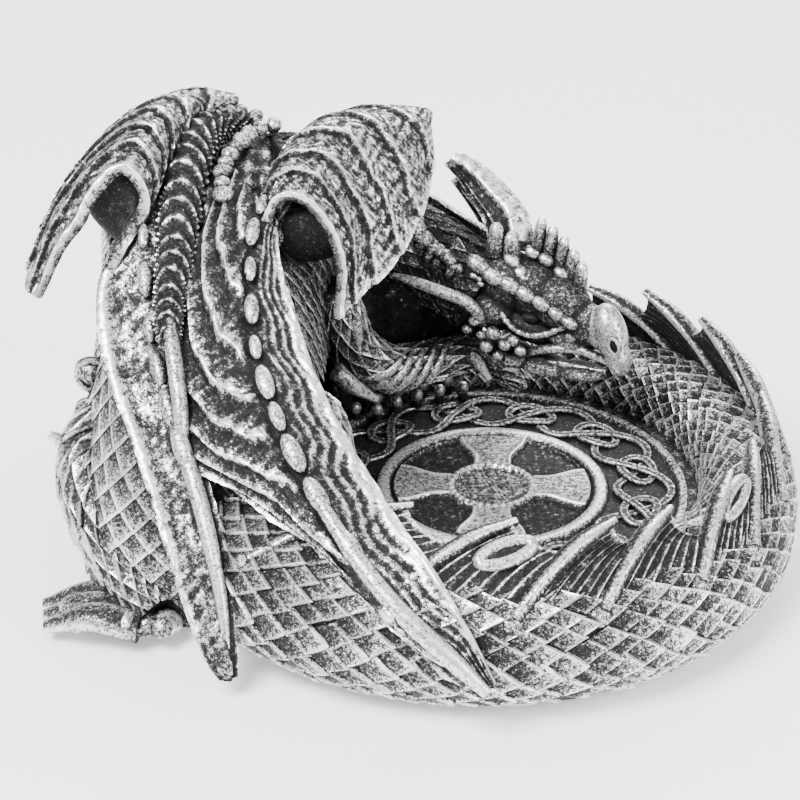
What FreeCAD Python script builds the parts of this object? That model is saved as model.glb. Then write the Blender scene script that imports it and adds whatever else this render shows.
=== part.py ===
import FreeCAD, Part
import math
import os

import Sketcher
from FreeCAD import Placement, Rotation, Vector

# Dragon dice tower. The hollow torso is the tower and the tail closes round a dice tray.
# Origin: centre of the tray on the table plane. +Z up, -Y towards the folded wings, +X over the tray.

SIZES = [
    ("tray_radius", 57.0),  # inside of the tail ring
    ("floor_height", 16.0),  # dice floor above the table
    ("felt_thick", 1.2),
    ("disc_thick", 3.0),  # relief disc that lies in the base
    ("base_rim", 3.0),
    ("seam_gap", 0.1),  # glue line between castings
    ("tail_root_width", 42.0),
    ("tail_front_width", 34.0),
    ("tail_side_width", 26.0),
    ("tail_end_width", 15.0),
    ("tail_root_height", 40.0),
    ("tail_side_height", 31.0),
    ("tail_end_height", 26.0),
    ("fin_rise", 18.0),
    ("fin_wall", 2.6),
    ("fin_root", 22.0),  # length of one fin blade along the tail
    ("torso_width", 60.0),
    ("torso_length", 124.0),
    ("torso_height", 84.0),
    ("torso_reach", 9.0),  # how far the torso stands inside the tray circle
    ("shaft_bore", 38.0),  # the dice fall down this
    ("gallery_width", 46.0),
    ("gallery_length", 96.0),
    ("gallery_roof", 54.0),
    ("exit_width", 34.0),
    ("exit_height", 27.0),
    ("baffle_thick", 3.0),
    ("baffle_gap", 0.2),
    ("collar_wall", 3.0),
    ("collar_height", 4.0),
    ("wing_wall", 3.4),
    ("hood_wall", 3.0),
    ("bead_width", 5.0),
    ("neck_width", 27.0),
    ("crest_wall", 3.0),
    ("skull_width", 23.0),
    ("horn_width", 9.0),
    ("arm_width", 17.0),
    ("thigh_width", 26.0),
    ("claw_width", 5.5),
    ("pin_diameter", 3.0),
]

doc = FreeCAD.newDocument("DiceTower")
sheet = doc.addObject("Spreadsheet::Sheet", "Sizes")
for row, (alias, number) in enumerate(SIZES, start=1):
    sheet.set(f"A{row}", str(number))
    sheet.setAlias(f"A{row}", alias)
doc.recompute()

UP = Vector(0, 0, 1)
nodes = []  # every sub-part, in the order it is made


def size(alias):
    return float(sheet.get(alias))


def bind(obj, **expressions):
    """Binds properties to cells. A double underscore in a name stands for a dot."""
    for name, text in expressions.items():
        obj.setExpression(name.replace("__", "."), text)
    return obj


def keep(label, obj):
    obj.Label = label
    nodes.append(obj)
    return obj


def polar(radius, degrees, z):
    turn = math.radians(degrees)
    return Vector(radius * math.cos(turn), radius * math.sin(turn), z)


def vectors(*points):
    return [Vector(*p) for p in points]


def blend(stops, at):
    """The value at a place between (place, value) stops."""
    for (a, low), (b, high) in zip(stops, stops[1:]):
        if at <= b:
            return low + (high - low) * (at - a) / (b - a)
    return stops[-1][1]


# ---------------------------------------------------------------- ways to make a solid
def cut(base, *tools):
    for tool in tools:
        obj = doc.addObject("Part::Cut", f"{base.Name}_less")
        obj.Base, obj.Tool = base, tool
        base = obj
    return base


def fuse(name, solids):
    obj = doc.addObject("Part::MultiFuse", name)
    obj.Shapes = solids
    return obj


def gather(label, solids):
    obj = doc.addObject("Part::Compound", label)
    obj.Links = solids
    return keep(label, obj)


def cylinder(name, base, radius, height, axis=UP):
    obj = doc.addObject("Part::Cylinder", name)
    obj.Placement = Placement(base, Rotation(UP, axis))
    return bind(obj, Radius=radius, Height=height)


def slab(name, corner, turn, length, width, height):
    obj = doc.addObject("Part::Box", name)
    obj.Placement = Placement(corner, turn)
    return bind(obj, Length=length, Width=width, Height=height)


def spike(name, foot, tip, share=1.0):
    """A claw or horn: a cone from foot to tip."""
    obj = doc.addObject("Part::Cone", name)
    obj.Height = (tip - foot).Length
    obj.Placement = Placement(foot, Rotation(UP, tip - foot))
    return bind(obj, Radius1=f"Sizes.claw_width / 2 * {share}", Radius2="Sizes.claw_width / 12")


def loft(name, wires):
    obj = doc.addObject("Part::Loft", name)
    obj.Sections = wires
    obj.Solid = True
    return obj


def ring(name, centre, across, up, radii):
    """An ellipse wire in the plane of across and up; radii are the two expressions, larger first."""
    obj = doc.addObject("Part::Ellipse", name)
    obj.Placement = Placement(centre, Rotation(across, up, across.cross(up), "XYZ"))
    return bind(obj, MajorRadius=radii[0], MinorRadius=radii[1])


def limb(name, alias, path, flat=False):
    """A tapered tube along a path of (point, width share). A flat limb is wider than it is high."""
    points = [Vector(*p) for p, _ in path]
    wires = []
    for i, (_, share) in enumerate(path):
        along = points[min(i + 1, len(path) - 1)] - points[max(i - 1, 0)]
        side = along.cross(UP).normalize()
        rise = side.cross(along).normalize()
        if flat:
            across, up = side, rise
        else:
            across, up = rise, side * -1
        radii = (f"Sizes.{alias} * {share} / 2", f"Sizes.{alias} * {share} * 0.42")
        wires.append(ring(f"{name}_ring", points[i], across, up, radii))
    return loft(name, wires)


def facets(corners):
    """Two flat triangles over four corners, or one where two of them meet."""
    a, b, c, d = corners
    faces = []
    for three in ((a, b, c), (a, c, d)):
        if (three[1] - three[0]).cross(three[2] - three[0]).Length > 1e-6:
            faces.append(Part.Face(Part.makePolygon([*three, three[0]])))
    return faces


def shell(name, rows, wall):
    """A curved sheet of one thickness through rows of points, such as a wing."""
    front, back = [], []
    for i, row in enumerate(rows):
        shifts = []
        for j in range(len(row)):
            along = rows[min(i + 1, len(rows) - 1)][j] - rows[max(i - 1, 0)][j]
            over = row[min(j + 1, len(row) - 1)] - row[max(j - 1, 0)]
            across = over.normalize() + (row[-1] - row[0]).normalize()
            shifts.append(along.cross(across).normalize() * wall / 2)
        front.append([p + s for p, s in zip(row, shifts)])
        back.append([p - s for p, s in zip(row, shifts)])
    faces = []
    for i in range(len(rows) - 1):
        for side in (front, back):
            for j in range(len(rows[i]) - 1):
                faces += facets((side[i][j], side[i][j + 1], side[i + 1][j + 1], side[i + 1][j]))
        for j in (0, -1):
            faces += facets((front[i][j], front[i + 1][j], back[i + 1][j], back[i][j]))
    for i in (0, -1):
        for j in range(len(rows[i]) - 1):
            faces += facets((front[i][j], front[i][j + 1], back[i][j + 1], back[i][j]))
    skin = Part.Shell(faces)
    skin.sewShape()
    solid = Part.Solid(skin.Shells[0] if skin.ShapeType != "Shell" else skin)
    if solid.Volume < 0:
        solid.reverse()
    obj = doc.addObject("Part::Feature", name)
    obj.Shape = solid
    return obj


# ---------------------------------------------------------------- base, felt and dice floor
felt = size("felt_thick")
tray = size("tray_radius")
floor_z = size("floor_height")
gap = size("seam_gap")
torso_x = size("torso_reach") - tray - size("torso_width") / 2


def disc_body(name, radius, bottom, thick):
    """A round plate: a circle sketched on the body's own plane and padded."""
    body = doc.addObject("PartDesign::Body", name)
    circle_on(body, f"{name}_outline", radius)
    pad = body.newObject("PartDesign::Pad", f"{name}_pad")
    pad.Profile = doc.getObject(f"{name}_outline")
    bind(pad, Length=thick)
    bind(body, Placement__Base__z=bottom)
    return body


def circle_on(body, name, radius, centre=Vector(0, 0, 0), height=None):
    """A sketch of one circle, on the body's ground plane or at a height above it."""
    plane = next(f for f in body.Origin.OriginFeatures if f.Role == "XY_Plane")
    sketch = body.newObject("Sketcher::SketchObject", name)
    sketch.AttachmentSupport = [(plane, "")]
    sketch.MapMode = "FlatFace"
    sketch.addGeometry(Part.Circle(centre, UP, 5), False)
    sketch.addConstraint(Sketcher.Constraint("Radius", 0, 5))
    sketch.setExpression("Constraints[0]", radius)
    if height:
        bind(sketch, AttachmentOffset__Base__z=height)
    return sketch


def pocket(body, sketch, depth):
    obj = body.newObject("PartDesign::Pocket", f"{sketch.Name}_pocket")
    obj.Profile = sketch
    return bind(obj, Length=depth)


felt_pad = disc_body("felt_pad", "Sizes.tray_radius + Sizes.tail_end_width / 2", "0", "Sizes.felt_thick")
lobe = circle_on(felt_pad, "felt_lobe", "Sizes.torso_width / 2", Vector(torso_x, 0, 0))
lobe_pad = felt_pad.newObject("PartDesign::Pad", "felt_lobe_pad")
lobe_pad.Profile = lobe
bind(lobe_pad, Length="Sizes.felt_thick")
keep("felt_pad", felt_pad)

base_body = disc_body(
    "base_body",
    "Sizes.tray_radius - Sizes.seam_gap",
    "Sizes.felt_thick",
    "Sizes.floor_height - Sizes.felt_thick",
)
seat = circle_on(
    base_body,
    "disc_seat",
    "Sizes.tray_radius - Sizes.base_rim",
    height="Sizes.floor_height - Sizes.felt_thick",
)
pocket(base_body, seat, "Sizes.disc_thick")

disc_body_radius = "Sizes.tray_radius - Sizes.base_rim - Sizes.seam_gap"
medallion = disc_body(
    "medallion", disc_body_radius, "Sizes.floor_height - Sizes.disc_thick", "Sizes.disc_thick"
)
hub = circle_on(medallion, "hub", "Sizes.tray_radius * 0.2", height="Sizes.disc_thick")
pocket(medallion, hub, "Sizes.disc_thick / 3")
quadrant_centre = Vector(tray * 0.25, tray * 0.25, 0)
quadrant = circle_on(medallion, "quadrant", "Sizes.tray_radius * 0.1", quadrant_centre, "Sizes.disc_thick")
quadrant_pocket = pocket(medallion, quadrant, "Sizes.disc_thick / 3")
quadrants = medallion.newObject("PartDesign::PolarPattern", "quadrants")
quadrants.Originals = [quadrant_pocket]
quadrants.Axis = (quadrant, ["N_Axis"])
quadrants.Angle = 360
quadrants.Occurrences = 4
medallion.Tip = quadrants


# ---------------------------------------------------------------- torso: the tower
def torso_solid(name):
    """The torso, unhollowed. Rings of (height expression, y, width share, length share)."""
    rings = [
        ("Sizes.felt_thick", 10, 1.0, 1.0),
        ("Sizes.torso_height * 0.4", 14, 1.0, 1.0),
        ("Sizes.torso_height * 0.76", 28, 0.95, 0.82),
        ("Sizes.torso_height", 46, 0.84, 0.56),
    ]
    wires = []
    for height, y, wide, long in rings:
        radii = (f"Sizes.torso_length * {long} / 2", f"Sizes.torso_width * {wide} / 2")
        level = ring(f"{name}_ring", Vector(torso_x, y, 0), Vector(0, 1, 0), Vector(-1, 0, 0), radii)
        wires.append(bind(level, Placement__Base__z=height))
    return loft(name, wires)


SHAFT_Y = 54.0
GALLERY_Y = 16.0
EXIT_Y = 16.0
top_z = size("torso_height")
roof_z = size("gallery_roof")
bore = size("shaft_bore")


def chamber(name, width, length):
    """The oval room inside the torso, which turns the dice towards the tray."""
    radii = (f"({length}) / 2", f"({width}) / 2")
    oval = ring(f"{name}_oval", Vector(torso_x, GALLERY_Y, 0), Vector(0, 1, 0), Vector(-1, 0, 0), radii)
    bind(oval, Placement__Base__z="Sizes.floor_height")
    room = doc.addObject("Part::Extrusion", name)
    room.Base = oval
    room.DirMode = "Custom"
    room.Dir = UP
    room.Solid = True
    return bind(room, LengthFwd="Sizes.gallery_roof - Sizes.floor_height")


def exit_arch():
    """A round-topped doorway from the gallery to the tray."""
    half = size("exit_width") / 2
    door = slab(
        "exit_door",
        Vector(torso_x, EXIT_Y - half, floor_z),
        Rotation(),
        "Sizes.torso_width",
        "Sizes.exit_width",
        "Sizes.exit_height - Sizes.exit_width / 2",
    )
    crown_z = floor_z + size("exit_height") - half
    crown = cylinder(
        "exit_crown",
        Vector(torso_x, EXIT_Y, crown_z),
        "Sizes.exit_width / 2",
        "Sizes.torso_width",
        Vector(1, 0, 0),
    )
    return fuse("exit_arch", [door, crown])


shaft_foot = Vector(torso_x, SHAFT_Y, roof_z - 1)
shaft = cylinder("shaft", shaft_foot, "Sizes.shaft_bore / 2", "Sizes.torso_height")
gallery = chamber("gallery", "Sizes.gallery_width", "Sizes.gallery_length")
outside = torso_solid("torso_outside")

NECK_PIN = (Vector(torso_x + 24, 26, 70), Vector(14, 8, 10))
WING_PINS = [
    (Vector(torso_x - 6, 4, 72), Vector(-4, -26, 4)),
    (Vector(torso_x + 5, -8, 62), Vector(2, -24, 9)),
]


def pin(name, place):
    foot, along = place
    return cylinder(name, foot, "Sizes.pin_diameter / 2", str(along.Length), along)


neck_pin = pin("neck_pin", NECK_PIN)
wing_pins = [pin(f"wing_pin_{i}", place) for i, place in enumerate(WING_PINS)]
keep("torso", cut(outside, gallery, shaft, exit_arch(), neck_pin, *wing_pins))
keep("base_plate", cut(base_body, outside))
keep("floor_disc", cut(medallion, outside))


# ---------------------------------------------------------------- what the dice meet on the way down
def collar():
    """A ring round the mouth that guides the dice in."""
    foot = Vector(torso_x, SHAFT_Y, top_z)
    outer = cylinder("collar_outer", foot, "Sizes.shaft_bore / 2 + Sizes.collar_wall", "Sizes.collar_height")
    inner = cylinder("collar_inner", foot, "Sizes.shaft_bore / 2", "Sizes.collar_height")
    return cut(outer, inner)


def shaft_baffle():
    """A sloped shelf across half of the shaft, trimmed to its wall."""
    room = cylinder(
        "baffle_room",
        shaft_foot,
        "Sizes.shaft_bore / 2 - Sizes.baffle_gap",
        "Sizes.torso_height - Sizes.gallery_roof",
    )
    corner = Vector(torso_x - bore / 2, SHAFT_Y - bore / 2, roof_z + 10)
    shelf = slab(
        "baffle_shelf",
        corner,
        Rotation(Vector(1, 0, 0), -25),
        "Sizes.shaft_bore",
        "Sizes.shaft_bore * 0.45",
        "Sizes.baffle_thick",
    )
    obj = doc.addObject("Part::Common", "shaft_baffle")
    obj.Base, obj.Tool = room, shelf
    return obj


def ramp(name, corner, turn, length, width):
    """A sloped plate trimmed to the inside of the gallery."""
    room = chamber(
        f"{name}_room",
        "Sizes.gallery_width - 2 * Sizes.baffle_gap",
        "Sizes.gallery_length - 2 * Sizes.baffle_gap",
    )
    plate = slab(f"{name}_plate", corner, turn, length, width, "Sizes.baffle_thick")
    obj = doc.addObject("Part::Common", name)
    obj.Base, obj.Tool = room, plate
    return obj


keep("hopper_collar", collar())
keep("upper_baffle", shaft_baffle())
back_corner = Vector(torso_x - bore, EXIT_Y + size("exit_width") / 2 + 2, floor_z + 12)
keep(
    "lower_baffle",
    ramp(
        "back_ramp",
        back_corner,
        Rotation(Vector(1, 0, 0), 38),
        "Sizes.shaft_bore * 2",
        "Sizes.gallery_length / 2",
    ),
)
side_corner = Vector(torso_x - size("gallery_width") / 2, EXIT_Y - size("exit_width") / 2, floor_z + 14)
keep(
    "exit_ramp",
    ramp("side_ramp", side_corner, Rotation(Vector(0, 1, 0), 18), "Sizes.gallery_width", "Sizes.exit_width"),
)


# ---------------------------------------------------------------- tail ring and its fins
WIDTHS = [(-165, "root"), (-90, "front"), (-10, "side"), (90, "side"), (128, "end")]
tail_width = [(a, size(f"tail_{k}_width")) for a, k in WIDTHS]
tail_height = [(-165, size("tail_root_height")), (-90, size("tail_root_height") - 5)]
tail_height += [(-45, size("tail_side_height")), (90, size("tail_side_height"))]
tail_height += [(128, size("tail_end_height"))]
FULLNESS = 0.8  # below 1 the section is squarer than an ellipse


def tail_ring(degrees, taper=1.0):
    half = blend(tail_width, degrees) / 2 * taper
    top = (blend(tail_height, degrees) - felt) * taper
    centre = tray + gap + half
    points = []
    for i in range(12):
        turn = 2 * math.pi * i / 12
        out, rise = (math.copysign(abs(v) ** FULLNESS, v) for v in (math.cos(turn), math.sin(turn)))
        points.append(polar(centre + half * out, degrees, felt + top / 2 * (1 + rise)))
    curve = Part.BSplineCurve()
    curve.interpolate(Points=points, PeriodicFlag=True)
    obj = doc.addObject("Part::Feature", "tail_ring")
    obj.Shape = Part.Wire([curve.toShape()])
    return obj


def tail_length(name, start, end, steps):
    angles = [start + (end - start) * i / steps for i in range(steps + 1)]
    return loft(name, [tail_ring(a) for a in angles])


root = cut(tail_length("root_run", -165, -110, 4), outside)
front = tail_length("front_run", -110, -50, 4)
side = tail_length("side_run", -50, 20, 5)
back = tail_length("back_run", 20, 90, 5)
end = tail_length("end_run", 90, 128, 3)


def fin_blade(name, degrees):
    """One blade: a wedge that stands on the tail's back and leans towards the tail's tip."""
    half = blend(tail_width, degrees) / 2
    height = blend(tail_height, degrees)
    foot = polar(tray + half * 1.3, degrees, height - 6)
    tip = polar(tray + half * 1.15, degrees + 15, height + 8)
    forward = Vector(tip.x - foot.x, tip.y - foot.y, 0)
    blade = doc.addObject("Part::Wedge", name)
    blade.Placement = Placement(foot, Rotation(forward, UP, Vector(0, 0, 0), "XYZ"))
    length = forward.Length
    blade.Xmin, blade.X2min, blade.X2max = -3, length * 0.5, length
    blade.Ymin, blade.Z2min, blade.Z2max = 0, -0.6, 0.6
    blade.Zmin = -size("fin_wall") / 2
    return bind(blade, Xmax="Sizes.fin_root", Ymax="Sizes.fin_rise", Zmax="Sizes.fin_wall / 2")


def fin(label, angles, carrier):
    blades = [fin_blade(f"{label}_blade", a) for a in angles]
    return keep(label, cut(fuse(f"{label}_row", blades), *carrier))


# ---------------------------------------------------------------- wings, folded down like a cape
# Each row runs across the wing: inner edge, between, finger bone, leading edge.
RIGHT_WING = [
    [(-72, 16, 99), (-67, 10, 97), (-62, 4, 94), (-60, 2, 90)],
    [(-77, 2, 90), (-71, -2, 90), (-64, -6, 89), (-57, -8, 83)],
    [(-80, -14, 78), (-72, -17, 80), (-63, -18, 80), (-52, -19, 76)],
    [(-81, -26, 67), (-72, -30, 71), (-61, -31, 73), (-48, -29, 69)],
    [(-81, -36, 57), (-70, -40, 62), (-57, -42, 66), (-43, -38, 62)],
    [(-79, -43, 50), (-66, -50, 55), (-52, -52, 59), (-36, -48, 54)],
    [(-62, -54, 45), (-55, -59, 48), (-45, -62, 50), (-31, -54, 48)],
    [(-44, -66, 41), (-40, -71, 42), (-34, -77, 41), (-24, -66, 43)],
    [(-34, -81, 36), (-30, -85, 35), (-23, -89, 33), (-15, -79, 39)],
    [(-24, -89, 31), (-20, -92, 29), (-15, -94, 27), (-8, -88, 34)],
    [(-14, -95, 21), (-10, -96, 20), (-6, -96, 19), (-3, -95, 22)],
]
LEFT_WING = [
    [(-76, 36, 106), (-80, 35, 107), (-84, 30, 108), (-90, 24, 105)],
    [(-83, 26, 102), (-86, 23, 103), (-91, 20, 103), (-97, 14, 99)],
    [(-85, 14, 95), (-88, 12, 96), (-93, 10, 96), (-101, 4, 92)],
    [(-84, 0, 86), (-87, -2, 87), (-92, -2, 87), (-105, -5, 82)],
    [(-84, -18, 72), (-86, -20, 73), (-89, -20, 72), (-103, -20, 71)],
    [(-81, -33, 60), (-82, -35, 62), (-84, -36, 60), (-98, -33, 61)],
    [(-78, -43, 51), (-77, -46, 51), (-78, -47, 49), (-92, -44, 53)],
    [(-72, -54, 41), (-71, -57, 41), (-73, -58, 38), (-86, -55, 42)],
    [(-66, -66, 28), (-66, -69, 27), (-68, -70, 24), (-80, -66, 29)],
    [(-64, -78, 9), (-65, -80, 8), (-67, -80, 7), (-71, -77, 9)],
]
# Each row runs round the arch of a hood: root, crest, flap, free edge.
RIGHT_HOOD = [
    [(-60, 4, 93), (-55, 5, 98), (-46, 4, 90), (-43, -2, 69)],
    [(-61, 9, 98), (-53, 14, 105), (-40, 10, 93), (-36, 4, 73)],
    [(-60, 17, 102), (-48, 22, 109), (-34, 18, 98), (-28, 12, 78)],
    [(-56, 26, 105), (-43, 31, 111), (-28, 28, 104), (-22, 22, 87)],
    [(-50, 34, 105), (-34, 41, 112), (-22, 38, 106), (-18, 36, 98)],
]
LEFT_HOOD = [
    [(-104, -3, 86), (-98, 2, 105), (-109, 0, 93), (-121, -8, 78)],
    [(-100, 8, 95), (-97, 9, 110), (-110, 6, 103), (-122, 0, 88)],
    [(-96, 16, 100), (-93, 20, 113), (-106, 14, 111), (-117, 9, 102)],
    [(-91, 24, 104), (-89, 30, 115), (-98, 26, 114), (-109, 21, 110)],
    [(-84, 36, 105), (-80, 44, 113), (-86, 43, 113), (-95, 38, 112)],
]


WING_DRAWN_RADIUS = 57.0  # tray radius that the wing tables were drawn for
WING_FREE_Z = 62.0  # above this a wing keeps its place
WING_TIP_Z = 48.0  # below this a wing lies on the tail and follows it


def sheet_of(name, table, alias):
    return shell(name, [vectors(*row) for row in table], size(alias))


def following_tray(table):
    """Moves the lower end of a wing outwards with the tail when the tray grows."""
    growth = size("tray_radius") - WING_DRAWN_RADIUS
    rows = []
    for row in table:
        shares = [min(1, max(0, (WING_FREE_Z - z) / (WING_FREE_Z - WING_TIP_Z))) for _, _, z in row]
        rows.append([(x, y - growth * share, z) for (x, y, z), share in zip(row, shares)])
    return rows


right_web = sheet_of("right_web", following_tray(RIGHT_WING), "wing_wall")
left_web = sheet_of("left_web", following_tray(LEFT_WING), "wing_wall")
right_wing = cut(right_web, wing_pins[1])
left_wing = cut(left_web, wing_pins[0], right_wing, root)
right_hood = sheet_of("right_arch", RIGHT_HOOD, "hood_wall")
left_hood = cut(sheet_of("left_arch", LEFT_HOOD, "hood_wall"), left_wing)
for label, run in [("root", root), ("front", front), ("side", side), ("back", back), ("end", end)]:
    keep(f"tail_{label}", run)
fin("tail_fin_front", [-104, -91, -78, -67], [front, side])
fin("tail_fin_side", [-44, -33, -21, -9], [side, back])
fin("tail_fin_back", [26, 38, 50, 62], [back, end])
keep("right_wing", right_wing)
keep("left_wing", left_wing)
keep("right_wing_hood", right_hood)
keep("left_wing_hood", left_hood)
keep("wing_pin_left", wing_pins[0])
keep("wing_pin_right", wing_pins[1])

# ---------------------------------------------------------------- back: shoulder ridge and its beads
ridge = limb(
    "shoulder_ridge",
    "arm_width",
    [
        ((-76, 9, 93), 0.6),
        ((-74, 16, 95), 0.95),
        ((-70, 24, 95), 1.25),
        ((-66, 31, 99), 1.0),
        ((-64, 36, 102), 0.6),
    ],
)
SPINE = vectors((-66, 34, 107), (-68, 29, 106), (-71, 24, 104), (-74, 19, 102), (-76, 13, 99))


def bead(name, centre):
    obj = doc.addObject("Part::Sphere", name)
    obj.Placement = Placement(centre, Rotation())
    return bind(obj, Radius="Sizes.bead_width / 2")


# ---------------------------------------------------------------- neck, head and horns
neck = cut(
    limb(
        "neck_tube",
        "neck_width",
        [
            ((-62, 34, 80), 0.8),
            ((-48, 39, 86), 1.0),
            ((-36, 45, 77), 1.0),
            ((-25, 47, 67), 1.0),
            ((-12, 46, 59), 0.95),
            ((0, 42, 57), 0.85),
        ],
    ),
    outside,
    neck_pin,
    doc.getObject("collar_outer"),
)
skull = cut(
    limb(
        "skull_block",
        "skull_width",
        [
            ((0, 42, 57), 0.86),
            ((6, 39, 57), 1.1),
            ((14, 35, 55), 1.05),
            ((24, 28, 50), 0.8),
            ((31, 23, 48), 0.6),
        ],
    ),
    neck,
)
jaw = cut(
    limb(
        "jaw_bar",
        "horn_width",
        [((0, 33, 42), 1.0), ((10, 28, 40), 1.1), ((20, 22, 40), 1.0), ((29, 18, 41), 0.7)],
        flat=True,
    ),
    skull,
    neck,
)
beak = cut(
    limb(
        "beak_hook",
        "horn_width",
        [((29, 25, 56), 1.1), ((34, 21, 54), 1.2), ((36, 18.5, 49), 0.9), ((36, 17, 43), 0.3)],
    ),
    skull,
    jaw,
)
HORN = [((5, 41, 68), 1.2), ((0, 46, 75), 1.3), ((-7, 52, 82), 0.95), ((-14, 58, 87), 0.35)]


def horn(name, shift):
    path = [(tuple(Vector(*p) + shift), share) for p, share in HORN]
    return cut(limb(name, "horn_width", path), skull, neck)


keep("neck", neck)
keep("neck_pin", neck_pin)
yoke_neighbours = [neck, right_wing, left_wing, right_hood, left_hood]
keep("shoulder_yoke", cut(ridge, outside, doc.getObject("collar_outer"), *yoke_neighbours))
gather("spine_beads", [cut(bead(f"spine_bead_{i}", c), nodes[-1]) for i, c in enumerate(SPINE)])
keep("skull", skull)
keep("lower_jaw", jaw)
keep("beak", beak)
keep("right_horn", horn("near_horn", Vector(0, 0, 0)))
keep("left_horn", cut(horn("far_horn", Vector(2, 10, -7)), nodes[-1]))

CREST_FOOT = vectors((-30, 47, 76), (-20, 48, 66), (-9, 46, 60), (0, 43, 60))
CREST_EDGE = vectors((-23, 53, 84), (-15, 54, 77), (-7, 52, 72), (3, 48, 68))
crest = shell("crest_web", [[a, b] for a, b in zip(CREST_FOOT, CREST_EDGE)], size("crest_wall"))
keep("neck_crest", cut(crest, neck, skull, nodes[-2], nodes[-1]))


def spikes(label, places, bases, share=1.0):
    """A set of claws or horns that are cast on one piece."""
    solids = [
        cut(spike(f"{label}_{i}", Vector(*foot), Vector(*tip), share), *bases)
        for i, (foot, tip) in enumerate(places)
    ]
    return gather(label, solids)


spikes("cheek_horns", [((2, 34, 50), (-28, 39, 58)), ((2, 48, 50), (-26, 60, 57))], [skull, neck], 1.3)
CROWN = [((10, 37, 66), (9, 38, 75)), ((15, 34, 63), (15, 35, 73)), ((20, 31, 60), (21, 31, 69))]
CROWN += [((25, 28, 55), (27, 28, 63))]
spikes("crown_spikes", CROWN, [skull, beak, doc.getObject("near_horn"), doc.getObject("far_horn")], 1.2)


# ---------------------------------------------------------------- legs
def leg(label, alias, path, *bases):
    return keep(label, cut(limb(f"{label}_tube", alias, path), outside, *bases))


arm_path = [((-56, 24, 64), 1.2), ((-42, 25, 50), 1.1), ((-30, 31, 37), 0.85), ((-17, 38, 34), 0.75)]
arm_path += [((-5, 43, 33), 0.7), ((6, 46, 26), 0.6)]
right_arm = leg("right_foreleg", "arm_width", arm_path, neck)
left_arm_path = [((-94, 46, 60), 1.2), ((-107, 54, 46), 1.1), ((-108, 62, 26), 0.9), ((-106, 70, 9), 0.7)]
left_arm = leg("left_foreleg", "arm_width", left_arm_path)
left_hind_path = [((-94, -6, 40), 1.3), ((-106, -18, 34), 1.15)]
left_hind_path += [((-103, -33, 24), 0.85), ((-93, -46, 14), 0.7)]
left_hind_path += [((-84, -56, 9), 0.6)]
left_hind = leg("left_hind_leg", "thigh_width", left_hind_path, root, left_wing)
right_hind_path = [((-60, -16, 46), 0.8), ((-50, -24, 38), 0.8)]
right_hind_path += [((-43, -30, 30), 0.55), ((-38, -30, 21), 0.4)]
right_hind = leg("right_hind_leg", "thigh_width", right_hind_path, root, right_wing)

FORE_CLAWS = [((-43, 18, 58), (-43, 17, 46)), ((-38, 19, 54), (-37, 17, 43)), ((6, 44, 26), (12, 44, 19))]
FORE_CLAWS += [((-108, 72, 8), (-111, 79, 3)), ((-103, 72, 8), (-102, 79, 3))]
spikes("foreleg_claws", FORE_CLAWS, [right_arm, left_arm, outside, doc.getObject("base_body")])
toes = []
for i in range(6):
    foot = Vector(-88 - 5 * i, -56 + 1.3 * i, 7)
    toes.append((tuple(foot), tuple(foot + Vector(-6, -3, -5))))
toes += [((-38, -30, 20), (-33, -28, 16.5))]
spikes("hind_claws", toes, [left_hind, right_hind, root, doc.getObject("base_body")], 0.85)
foot_path = [((-80, -58, 6), 0.9), ((-96, -54, 6.4), 1.0), ((-114, -49, 5), 0.6)]
keep("left_hind_foot", cut(limb("foot_bar", "horn_width", foot_path, flat=True), left_hind, root, nodes[-1]))

FLANK = [
    [(-100, -10, 48), (-104, -12, 42)],
    [(-107, -8, 55), (-110, -11, 48)],
    [(-115, -6, 55), (-117, -8, 49)],
]
keep("flank_fin", cut(sheet_of("flank_web", FLANK, "fin_wall"), left_hind, outside, left_wing))

# ---------------------------------------------------------------- check and write
doc.recompute()
for obj in doc.Objects:
    if {"Invalid", "Error"} & set(obj.State):
        raise RuntimeError(f"{obj.Label} failed: {obj.State}")
for obj in nodes:
    if obj.Shape.isNull() or not obj.Shape.isValid() or not obj.Shape.Solids:
        raise RuntimeError(f"{obj.Label} has no valid solid")

os.makedirs("parts", exist_ok=True)
for obj in nodes:
    obj.Shape.exportStep(f"parts/{obj.Label}.step")
print(len(nodes), "nodes")
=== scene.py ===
import math

import bmesh
import bpy
import numpy as np
from mathutils import Matrix, Vector


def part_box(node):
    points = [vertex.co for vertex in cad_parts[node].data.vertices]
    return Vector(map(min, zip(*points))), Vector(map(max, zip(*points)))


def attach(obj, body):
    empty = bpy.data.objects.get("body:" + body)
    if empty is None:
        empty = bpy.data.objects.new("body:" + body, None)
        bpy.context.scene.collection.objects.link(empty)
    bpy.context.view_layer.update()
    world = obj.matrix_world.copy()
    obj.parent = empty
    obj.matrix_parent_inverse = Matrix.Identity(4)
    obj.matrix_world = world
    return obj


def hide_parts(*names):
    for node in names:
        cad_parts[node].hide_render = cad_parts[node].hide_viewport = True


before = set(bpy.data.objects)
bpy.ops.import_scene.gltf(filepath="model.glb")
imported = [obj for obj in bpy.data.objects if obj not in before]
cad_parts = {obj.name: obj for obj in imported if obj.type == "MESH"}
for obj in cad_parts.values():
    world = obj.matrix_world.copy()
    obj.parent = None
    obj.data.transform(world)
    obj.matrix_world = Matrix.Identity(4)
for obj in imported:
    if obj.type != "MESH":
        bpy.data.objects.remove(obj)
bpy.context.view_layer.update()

mm = 0.001
tau = 2 * math.pi
chance = np.random.default_rng(7)

# places that several pieces share, read from the frame, in millimetres
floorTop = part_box("floor_disc")[1].z / mm
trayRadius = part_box("base_plate")[1].x / mm
torsoLow, torsoHigh = [np.array(corner / mm, float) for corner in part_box("torso")]
torsoMiddle = (torsoLow + torsoHigh)[:2] / 2


# ways of making a mesh

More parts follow.
